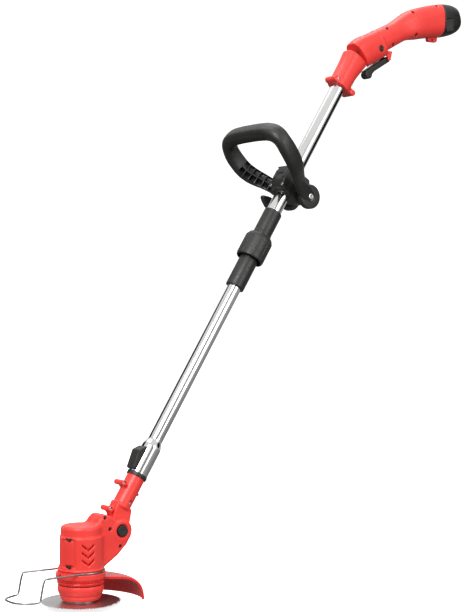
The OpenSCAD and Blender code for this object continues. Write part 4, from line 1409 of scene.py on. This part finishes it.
@dataclass(frozen=True)
class LoopHandle:
    """The front loop handle with its bolt, washer and clamp lever.

    Attributes:
        exponent: squareness of its sections.
        wall: wall behind the channels in its arms.
        ear_r: radius of the ears at the bolt.
        cell: pitch of the cross ribs in the channels.
        groove: pitch of the finger grooves on the bar.
    """

    exponent: float = 0.72
    wall: float = 2.6
    ear_r: float = 22.0
    cell: float = 13.0
    groove: float = 8.0

    def line(self) -> tuple[Points, np.ndarray]:
        """Returns the fine centre line with sizes, and the run along it."""
        near = [(x, -y, z, a, b) for x, y, z, a, b in LOOP_HALF]
        rows = smooth_line([*near, *LOOP_HALF[::-1]], 14)
        step = np.linalg.norm(np.diff(rows[:, :3], axis=0), axis=1)
        return rows, np.concatenate([[0], np.cumsum(step)])

    def stations(self, run: float) -> list[tuple[float, float]]:
        """Positions along the handle and how open the channel is there.

        Args:
            run: full length of the centre line.

        Returns:
            Pairs of position and openness from 0 to 1.
        """
        first, last = 24.0, 122.0
        marks = [(0.0, 0.0), (first - 3, 0.0)]
        at = first
        while at + self.cell < last:
            marks += [(at, 0.0), (at + 0.5, 1.0), (at + self.cell - 2.2, 1.0), (at + self.cell - 1.7, 0.0)]
            at += self.cell
        ends = [(run - s, o) for s, o in marks[::-1]]
        middle, s = [], marks[-1][0] + 2
        while s < ends[0][0] - 1:
            middle.append((s, 0.0))
            s += 1.15
        return [*marks, *middle, *ends]

    def bar(self) -> Mesh:
        """Returns the swept loop with channels in its arms and grooves on its bar."""
        rows, run = self.line()
        across = [
            -0.985, -0.95, -0.89, -0.865, -0.7, -0.5, -0.3, -0.1, -0.075, 0.075, 0.1, 0.3, 0.5, 0.7,
            0.865, 0.89, 0.95, 0.985,
        ]
        opened = [0, 0, 0, 1, 1, 1, 1, 1, 0, 0, 1, 1, 1, 1, 1, 0, 0, 0]
        e = self.exponent
        rings = []
        for s, wide in self.stations(run[-1]):
            p = np.array([np.interp(s, run, rows[:, k]) for k in range(5)])
            lo, hi = max(s - 3, 0), min(s + 3, run[-1])
            d = np.array([np.interp(hi, run, rows[:, k]) - np.interp(lo, run, rows[:, k]) for k in range(3)])
            d /= np.linalg.norm(d)
            f = np.array([-0.70, 0, -0.71])
            a = f - d * (f @ d)
            a /= np.linalg.norm(a)
            b = np.cross(a, d)
            ha, hb = p[3], p[4]
            points = []
            for i in range(29):
                q = math.pi + math.pi * i / 28
                u, v = math.cos(q), math.sin(q)
                points.append((math.copysign(abs(u) ** e, u), -abs(v) ** e if abs(v) > 1e-9 else 0.0))
            inner = []
            for u, o in zip(across[::-1], opened[::-1]):
                v = (1 - abs(u) ** (2 / e)) ** (e / 2)
                if o and wide > 0:
                    v = (1 - wide) * v + wide * (-v + self.wall / hb)
                elif wide > 0 and abs(u) < 0.1:
                    v -= 0.25 * wide
                inner.append((u, v))
            ring = []
            grip = 0.0
            if abs(p[1]) < 57:
                grip = min(1.0, (57 - abs(p[1])) / 6)
            for u, v in [*points, *inner]:
                sink = 0.0
                if grip and u > 0.1 and v > -0.72:
                    phase = (p[1] + 5.0 * v) / self.groove * 2 * math.pi
                    shade = min(1.0, (u - 0.1) * 2.5) * min(1.0, (v + 0.72) * 4)
                    sink = 2.6 * grip * shade * min(1.0, max(0.0, math.cos(phase) + 0.25))
                ring.append(p[:3] + a * u * (ha - sink) + b * v * (hb - sink))
            rings.append(np.array(ring))
        mesh = loft(rings)
        return shifted(mesh, lambda q: q + np.array([BOLT[0], 0, BOLT[1]]))

    def ears(self) -> Mesh:
        """Returns the two round ears at the bolt."""
        r = self.ear_r
        near = turned(rounded(
            [(3.2, 23), (r, 23), (r, 33.4), (9.6, 33.4), (8.5, 32.2), (8.5, 31.6), (3.2, 31.6)], 1.6, 4
        ), 96)
        far = turned(rounded([(3.2, 23), (r, 23), (r, 33.4), (3.2, 33.4)], 1.6, 4), 96)
        x, z = BOLT
        near = shifted(near, lambda p: np.stack([x + p[:, 0], -p[:, 2], z + p[:, 1]], 1))
        far = shifted(far, lambda p: np.stack([x - p[:, 0], p[:, 2], z + p[:, 1]], 1))
        return merged([near, far])

    def lever(self, p: Points) -> np.ndarray:
        """Field of the clamp lever.

        Args:
            p: points.

        Returns:
            Signed distance.
        """
        x, z = BOLT
        blade = [
            (0, 10), (-10, 5), (-20, -3), (-38, 3), (-50, 5), (-52, 1), (-49, -6), (-43, -15),
            (-37, -20), (-30, -18),
            (-14, -12), (0, -11),
        ]
        f = plate(p, [(x + a, z + b) for a, b in blade], 38.5, 49, 1.6)
        f = join(f, rod(p, x, z, 11, 33.7, 50, 1.4), 2)
        return cut(f, rod(p, x, z, 3.1, 20, 60, 0.1), 0.2)

    def build(self) -> None:
        """Builds the loop, the bolt and washer, and the lever."""
        build(
            "loop_grip_handle", merged([self.bar(), self.ears()]), BLACK_GRIP, "loop", "loop_handle",
            crease=38
        )
        bolt = shifted(screw(5.6, 3.2, 3, 81, Recess.HEX), facing_near(*BOLT, -32.74))
        build("loop_bolt", bolt, BRIGHT_SCREW, "loop", "handle_bolt", crease=35)
        ring = turned(rounded([(3.2, 0), (8, 0), (8, 1.1), (3.2, 1.1)], 0.3), 64)
        build(
            "loop_washer", shifted(ring, facing_near(*BOLT, -31.62)), BRIGHT_SCREW, "loop",
            "bolt_washer", crease=40
        )
        mesh = skin(self.lever, (400, 33, 663), (465, 51, 696), 0.9)
        build("clamp_lever", mesh, BLACK_MOULDED, "lever", "cam_lever")


# ---------------------------------------------------------------- rear handle


GRIP_SECTIONS = [
    (545.2, 891.6, 57.4, 19.4, 19), (562, 917.2, 56.5, 19.6, 19), (576, 936, 52.5, 22, 19.5),
    (586.6, 950.6, 47, 24.6, 20), (592.6, 956, 45, 27.4, 20.6), (604, 964.4, 40, 28, 20.6),
    (625, 974.6, 34, 27.4, 20.2), (647.5, 986.2, 31, 26.4, 19.4), (651.5, 992.4, 30.5, 22.4, 18.8),
    (683, 1008.4, 27.5, 21.6, 17.6), (704, 1020, 23.5, 23.2, 17.8), (731, 1031, 17.5, 28.4, 22),
    (767, 1040.5, 13.5, 30.4, 23.3), (790, 1045, 11, 31.6, 24), (812, 1049, 10, 32, 24),
]
PACK_SECTIONS = [
    (780, 1043, 11, 31.4, 24), (790, 1045, 11, 31.6, 24), (806, 1048, 11, 31.8, 24),
    (822, 1051, 14, 30.2, 23.6),
    (834, 1054, 18, 27.4, 22.4), (843.5, 1057, 21, 22.6, 19.6), (850, 1059, 24, 16.4, 14.6),
    (853.4, 1060, 25, 9.6, 8.6), (854.6, 1060.4, 25, 4, 3.6),
]
HANDLE_SCREWS = [
    (536.6, 907.6), (568.5, 899.4), (583.2, 961), (656, 1013), (670, 984.4), (722, 1051.5),
    (729, 1009.5), (784, 1071.5),
]


def swept(
    p: Points, sections: Sequence[Sequence[float]], per: int, edge: float, power: float = 2.78
) -> np.ndarray:
    """Field of squarish ovals swept along a side-view line.

    Args:
        p: points.
        sections: X, Z, slope in degrees, half height and half width of each section.
        per: fine steps between two sections.
        edge: rounding of the two ends.
        power: squareness of the sections.

    Returns:
        A value that is near the signed distance close to the surface.
    """
    rows = smooth_line(sections, per)
    x, y, z = p.T
    best = np.full(len(p), np.inf)
    index, part = np.zeros(len(p), int), np.zeros(len(p))
    for i in range(len(rows) - 1):
        ax, az = rows[i, 0], rows[i, 1]
        dx, dz = rows[i + 1, 0] - ax, rows[i + 1, 1] - az
        t = np.clip(((x - ax) * dx + (z - az) * dz) / (dx * dx + dz * dz), 0, 1)
        far = (x - ax - dx * t) ** 2 + (z - az - dz * t) ** 2
        nearer = far < best
        best[nearer], index[nearer], part[nearer] = far[nearer], i, t[nearer]
    row = rows[index] * (1 - part[:, None]) + rows[index + 1] * part[:, None]
    tilt = np.radians(row[:, 2])
    h = -(x - row[:, 0]) * np.sin(tilt) + (z - row[:, 1]) * np.cos(tilt)
    size = ((np.abs(h) / row[:, 3]) ** power + (np.abs(y) / row[:, 4]) ** power + 1e-12) ** (1 / power)
    oval = (size - 1) * np.minimum(row[:, 3], row[:, 4])
    d0, d1 = rows[1, :2] - rows[0, :2], rows[-1, :2] - rows[-2, :2]
    d0, d1 = d0 / np.linalg.norm(d0), d1 / np.linalg.norm(d1)
    start = -((x - rows[0, 0]) * d0[0] + (z - rows[0, 1]) * d0[1])
    end = (x - rows[-1, 0]) * d1[0] + (z - rows[-1, 1]) * d1[1]
    return prism(oval, np.maximum(start, end), edge)


def stem(p: Points, start: float, end: float, half: float, corner: float) -> np.ndarray:
    """Field of the battery's square stem, in the battery's frame.

    Args:
        p: points.
        start: where it begins along the battery.
        end: where it ends along the battery.
        half: half its width.
        corner: radius of its long edges.

    Returns:
        Signed distance.
    """
    q = PACK.into(p)
    a, b = np.abs(q[:, 1]) - half + corner, np.abs(q[:, 2]) - half + corner
    flat = np.hypot(np.maximum(a, 0), np.maximum(b, 0)) + np.minimum(np.maximum(a, b), 0) - corner
    return np.maximum(flat, slab(q[:, 0], start, end))


@dataclass(frozen=True)
class RearHandle:
    """The red rear handle with trigger and lock button.

    Attributes:
        step: size of the quads.
        split: X of the plane towards the battery.
        trigger_half: half width of the trigger.
    """

    step: float = 1.15
    split: float = 799.4
    trigger_half: float = 8.0

    def shell(self, p: Points) -> np.ndarray:
        """Field of both halves together.

        Args:
            p: points.

        Returns:
            Signed distance.
        """
        f = join(swept(p, GRIP_SECTIONS[:4], 3, 2.0), swept(p, GRIP_SECTIONS[4:8], 3, 2.0), 0.8)
        back = [(641, 986.6, 31, 22.4, 18.8), *GRIP_SECTIONS[8:]]
        f = join(f, swept(p, back, 3, 1.0), 2.5)
        cheek = [(660.2, 958), (666.8, 958), (671, 972), (652, 972)]
        f = join(f, join(rod(p, 663.5, 957.4, 3.8, -12.4, 12.4, 1), plate(p, cheek, -12.4, 12.4, 0.6)), 1)
        q = POLE.into(p)
        web = [(-20.6, 814.6), (26.4, 816.4), (26.4, 826.5), (-20.6, 824.8)]
        f = join(f, plate(q, web, -14, 14, 1.5), 2)
        for x, t in ((-20.6, 819.6), (26.4, 821.5)):
            f = join(f, rod(q, x, t, 5.4, -14, 14, 1.2), 1.5)
        lug = [(772, 1018), (772, 1006), (774, 1003.6), (794, 1004.2), (796.5, 1008), (796.5, 1020)]
        f = join(f, plate(p, lug, -4, 4, 0.8), 1.5)
        f = cut(f, rod(p, 784, 1007.6, 2, -10, 10, 0.1), 0.3)
        f = np.maximum(f, p[:, 0] - self.split)
        f = cut(f, np.maximum(np.hypot(q[:, 0], q[:, 1]) - 11.8, slab(q[:, 2], 700, 851)), 0.2)
        slot = [(601, 930), (611, 906), (640, 925), (673, 952), (671, 968), (655, 965), (612, 944)]
        f = cut(f, plate(p, slot, -8.6, 8.6, 0.4), 0.7)
        f = cut(f, rod(p, 636.5, 972.5, 6.1, -40, -6, 0.2), 0.7)
        w = Place(637.4, 943.9, -33.7).into(p)
        f = cut(f, drum(w, 3, 0, 18, 0.2), 0)
        for x, z in HANDLE_SCREWS:
            f = cut(f, rod(p, x, z, 3.15, -45, -11, 0.2), 0.5)
        return cut(f, stem(p, -56, 30, 20.7, 9.4), 0.3)

    def trigger(self, p: Points) -> np.ndarray:
        """Field of the trigger.

        Args:
            p: points.

        Returns:
            Signed distance.
        """
        outline = [
            (667.4, 952.6), (668.6, 957.4), (663.5, 962.4), (640, 948.6), (618, 935.4), (610, 930),
            (607.4, 923),
            (609.6, 918.4), (614.4, 915.4), (619.6, 916.2), (622.6, 919), (625, 926.2), (631, 931.4),
        ]
        f = plate(p, outline, -self.trigger_half, self.trigger_half, 1.8)
        return cut(f, rod(p, 663.5, 957.4, 1.7, -20, 20, 0.1), 0.1)

    def build(self) -> None:
        """Builds the halves, their screws, the trigger and the lock button."""
        low, high = (523, -25, 872), (801, 25, 1082)
        near = skin(
            lambda p: np.maximum(self.shell(p), p[:, 1] + SEAM), low, (high[0], 0.5, high[2]), self.step
        )
        far = skin(
            lambda p: np.maximum(self.shell(p), SEAM - p[:, 1]), (low[0], -0.5, low[2]), high, self.step
        )
        build("handle_near_half", near, RED_MOULDED, "rear_handle", "handle_left")
        build("handle_far_half", far, RED_MOULDED, "rear_handle", "handle_right")
        heads = [shifted(screw(2.8, 1.95, 1.5, 20), facing_near(x, z, -11.05)) for x, z in HANDLE_SCREWS]
        build("handle_screws_low", merged(heads[:2]), BRIGHT_SCREW, "rear_handle", "handle_screws", crease=35)
        # painted shade: the upper handle screws take the darkened copy of the screw steel; the lower two keep
        # the bright one
        build("handle_screws_high", merged(heads[2:]), SCREW_STEEL_PAINTED_SHADE, "rear_handle", "handle_screws", crease=35)
        mesh = skin(self.trigger, (606, -8.5, 914), (670, 8.5, 964), 0.9)
        build("trigger_lever", mesh, BLACK_MOULDED, "trigger", "trigger")
        knob = turned(rounded([(0.01, 0), (5.6, 0), (5.6, 6.9), (4.6, 7.6), (0.01, 7.6)], 0.8, 4), 64)
        build(
            "lock_knob", shifted(knob, facing_near(636.5, 972.5, -12.4)), BLACK_MOULDED, "lock",
            "lock_button", crease=60
        )


@dataclass(frozen=True)
class Battery:
    """The black battery pack with its two ribbed latches.

    Attributes:
        start: X of the plane towards the handle.
        step: size of the quads.
    """

    start: float = 800.6
    step: float = 1.1

    def case(self, p: Points) -> np.ndarray:
        """Field of the case with its stem.

        Args:
            p: points.

        Returns:
            Signed distance.
        """
        f = prism(swept(p, PACK_SECTIONS, 3, 0.5), self.start - p[:, 0], 0.5)
        f = join(f, stem(p, -46, 4, 20.2, 9), 0.3)
        q = PACK.into(p)
        for s in (-1, 1):
            slit = np.maximum(
                np.abs(q[:, 1] - s * 8) - 2.2, np.maximum(np.abs(q[:, 2]) - 6, slab(q[:, 0], -50, -42))
            )
            f = cut(f, slit, 0.3)
        w = LATCH.into(p)
        window = np.maximum(
            np.maximum(np.abs(w[:, 0]) - 10.2, np.abs(w[:, 2]) - 12.7), 18.2 - np.abs(w[:, 1])
        )
        f = cut(f, window, 0.8)
        seam = np.maximum(np.abs(q[:, 2] - 2.5) - 0.45, np.maximum(26 - q[:, 0], 0.5 - (f + 1.0)))
        return cut(f, seam, 0.3)

    def latch(self, side: int) -> Mesh:
        """Returns one ribbed latch.

        Args:
            side: -1 for the near one, 1 for the far one.

        Returns:
            Vertices and faces in the frame of the part.
        """
        def shape(p: Points) -> np.ndarray:
            """Field of the latch in its own frame.

            Args:
                p: points.

            Returns:
                Signed distance.
            """
            corners = [(-9.7, -12.1), (9.7, -12.1), (9.7, 12.1), (-9.7, 12.1)]
            f = plate(p, corners, 20.6, 23.4, 0.7)
            for i in range(5):
                x = -7.6 + 3.8 * i
                rib = np.hypot(p[:, 0] - x, p[:, 1] - 23.4) - 0.9
                f = join(f, np.maximum(rib, np.abs(p[:, 2]) - 10.8), 0.3)
            return f
        mesh = skin(shape, (-10, 20.3, -12.4), (10, 24.4, 12.4), 0.6)
        return shifted(mesh, lambda p: LATCH.out(p * np.array([1, side, 1])))

    def build(self) -> None:
        """Builds the case and the latches."""
        mesh = skin(self.case, (750, -25, 1012), (863, 25, 1086), self.step)
        build("battery_shell", mesh, BLACK_MOULDED, "battery", "battery_case")
        build("latch_ribbed_near", self.latch(-1), BLACK_GRIP, "latch_near", "battery_latch_left")
        build("latch_ribbed_far", self.latch(1), BLACK_GRIP, "latch_far", "battery_latch_right")


# ---------------------------------------------------------------- stage


@dataclass(frozen=True)
class Softbox:
    """A soft rectangular studio light.

    Attributes:
        name: name of the light.
        place: position in metres.
        size: width and height in metres.
        watts: power.
        tint: colour.
    """

    name: str
    place: tuple[float, float, float]
    size: tuple[float, float]
    watts: float
    tint: Colour = (1.0, 1.0, 1.0)

    def build(self, target: tuple[float, float, float]) -> None:
        """Makes the light and points it at a target.

        Args:
            target: the point it faces, in metres.
        """
        data = bpy.data.lights.new(self.name, "AREA")
        data.shape = "RECTANGLE"
        data.size, data.size_y = self.size
        data.energy = self.watts
        data.color = self.tint
        obj = bpy.data.objects.new(self.name, data)
        bpy.context.scene.collection.objects.link(obj)
        obj.location = self.place
        way = mathutils.Vector(target) - mathutils.Vector(self.place)
        obj.rotation_euler = way.to_track_quat("-Z", "Y").to_euler()


@dataclass(frozen=True)
class Studio:
    """White background, pale floor, soft lights and the camera.

    Attributes:
        eye: camera position in metres.
        heading: camera's turn about Z in degrees.
        lens: focal length in millimetres.
        glow: strength of the surrounding light from above.
        low_glow: strength of the surrounding light from below.
    """

    eye: tuple[float, float, float] = (-1.1194, -1.9577, 0.4884)
    heading: float = -36.0
    lens: float = 81.35
    glow: float = 0.86
    low_glow: float = 0.22

    def world(self) -> None:
        """Makes the surroundings: white where seen, softer where they light."""
        world = bpy.data.worlds.new("studio_white")
        bpy.context.scene.world = world
        world.use_nodes = True
        tree = world.node_tree
        tree.nodes.clear()
        seen, lit = tree.nodes.new("ShaderNodeBackground"), tree.nodes.new("ShaderNodeBackground")
        seen.inputs[0].default_value, seen.inputs[1].default_value = (1, 1, 1, 1), 1.2
        lit.inputs[0].default_value = (1, 1, 1, 1)
        way, split = tree.nodes.new("ShaderNodeTexCoord"), tree.nodes.new("ShaderNodeSeparateXYZ")
        rise = tree.nodes.new("ShaderNodeMapRange")
        for name, number in (
            ("From Min", -0.35), ("From Max", 0.55), ("To Min", self.low_glow), ("To Max", self.glow)
        ):
            rise.inputs[name].default_value = number
        tree.links.new(way.outputs["Generated"], split.inputs[0])
        tree.links.new(split.outputs[2], rise.inputs["Value"])
        tree.links.new(rise.outputs[0], lit.inputs[1])
        path, mix = tree.nodes.new("ShaderNodeLightPath"), tree.nodes.new("ShaderNodeMixShader")
        end = tree.nodes.new("ShaderNodeOutputWorld")
        tree.links.new(path.outputs["Is Camera Ray"], mix.inputs[0])
        tree.links.new(lit.outputs[0], mix.inputs[1])
        tree.links.new(seen.outputs[0], mix.inputs[2])
        tree.links.new(mix.outputs[0], end.inputs[0])

    def sheet(
        self, name: str, corners: Sequence[tuple[float, float, float]], shade: float
    ) -> bpy.types.Object:
        """Makes a flat piece of the stage.

        Args:
            name: name of the piece.
            corners: its four corners in metres.
            shade: its grey value.

        Returns:
            The new object.
        """
        data = bpy.data.meshes.new(name)
        data.from_pydata(list(corners), [], [list(range(len(corners)))])
        mat = bpy.data.materials.new(name + "_matt")
        mat.use_nodes = True
        shader = mat.node_tree.nodes["Principled BSDF"]
        shader.inputs["Base Color"].default_value = (shade, shade, shade, 1)
        shader.inputs["Roughness"].default_value = 0.9
        shader.inputs["Specular IOR Level"].default_value = 0.0
        data.materials.append(mat)
        obj = bpy.data.objects.new(name, data)
        bpy.context.scene.collection.objects.link(obj)
        return obj

    def card(self, name: str, turn: float, width: float, low: float, high: float, shade: float) -> None:
        """Stands a tall card beside the tool that only mirrors show.

        Args:
            name: name of the card.
            turn: direction from the pole, in degrees about Z.
            width: angle that it fills, in degrees.
            low: height of its lower edge in metres.
            high: height of its upper edge in metres.
            shade: its grey value.
        """
        reach = 2.6
        middle = (0.4, 0.0)
        ends = []
        for s in (-0.5, 0.5):
            a = math.radians(turn + s * width)
            ends.append((middle[0] + reach * math.cos(a), middle[1] + reach * math.sin(a)))
        (ax, ay), (bx, by) = ends
        obj = self.sheet(name, [(ax, ay, low), (bx, by, low), (bx, by, high), (ax, ay, high)], shade)
        obj.visible_camera = False
        obj.visible_diffuse = False
        obj.visible_shadow = False

    def build(self) -> None:
        """Builds the stage and the camera."""
        scene = bpy.context.scene
        self.world()
        floor = self.sheet(
            "pale_floor",
            [(-40, -40, -0.0005), (40, -40, -0.0005), (40, 40, -0.0005), (-40, 40, -0.0005)], 0.9
        )
        shader = floor.data.materials[0].node_tree.nodes["Principled BSDF"]
        shader.inputs["Emission Color"].default_value = (1, 1, 1, 1)
        shader.inputs["Emission Strength"].default_value = 0.74
        floor.visible_diffuse = False
        floor.visible_glossy = False
        target = (0.4, 0.0, 0.55)
        Softbox("key_light", (-2.2, -2.0, 2.6), (1.8, 1.8), 110).build(target)
        Softbox("fill_light", (1.2, -3.2, 1.4), (1.6, 2.0), 34).build(target)
        Softbox("top_light", (0.5, 0.8, 3.4), (2.4, 2.4), 45).build(target)
        for name, turn, width, low, high in (
            ("card_right", -18, 46, 0.35, 2.2), ("card_thin", -106, 7, -1, 3),
            ("card_left", 118, 40, 0.8, 2.6)
        ):
            self.card(name, turn, width, low, high, 0.01)
        data = bpy.data.cameras.new("studio_camera")
        data.lens, data.sensor_width = self.lens, 36
        data.clip_start, data.clip_end = 0.05, 200
        camera = bpy.data.objects.new("studio_camera", data)
        scene.collection.objects.link(camera)
        camera.location = self.eye
        camera.rotation_euler = (math.radians(90), 0, math.radians(self.heading))
        scene.camera = camera
        scene.view_settings.view_transform = "Standard"
        scene.view_settings.look = "None"


def dress(node: str, finish: Finish) -> None:
    """Gives a carried-over CAD node its finish.

    Args:
        node: name of the node.
        finish: the finish it takes.
    """
    obj = bpy.data.objects[node]
    obj.data.materials.clear()
    obj.data.materials.append(finish.material())
    for face in obj.data.polygons:
        face.material_index = 0
    log.info("%s: dressed as %s", node, finish.name)


def main() -> None:
    """Loads the frame, builds every piece in order and sets the stage."""
    logging.basicConfig(level=logging.INFO, format="%(name)s: %(message)s")
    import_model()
    for part in (
        Cutter(), Head(), Guard(), WireHoop(), Neck(), Pole(), Clamp(), LoopHandle(), RearHandle(), Battery(),
    ):
        part.build()
    for node, finish in PLAIN_NODES.items():
        dress(node, finish)
    Studio().build()


if __name__ == "__main__":
    main()
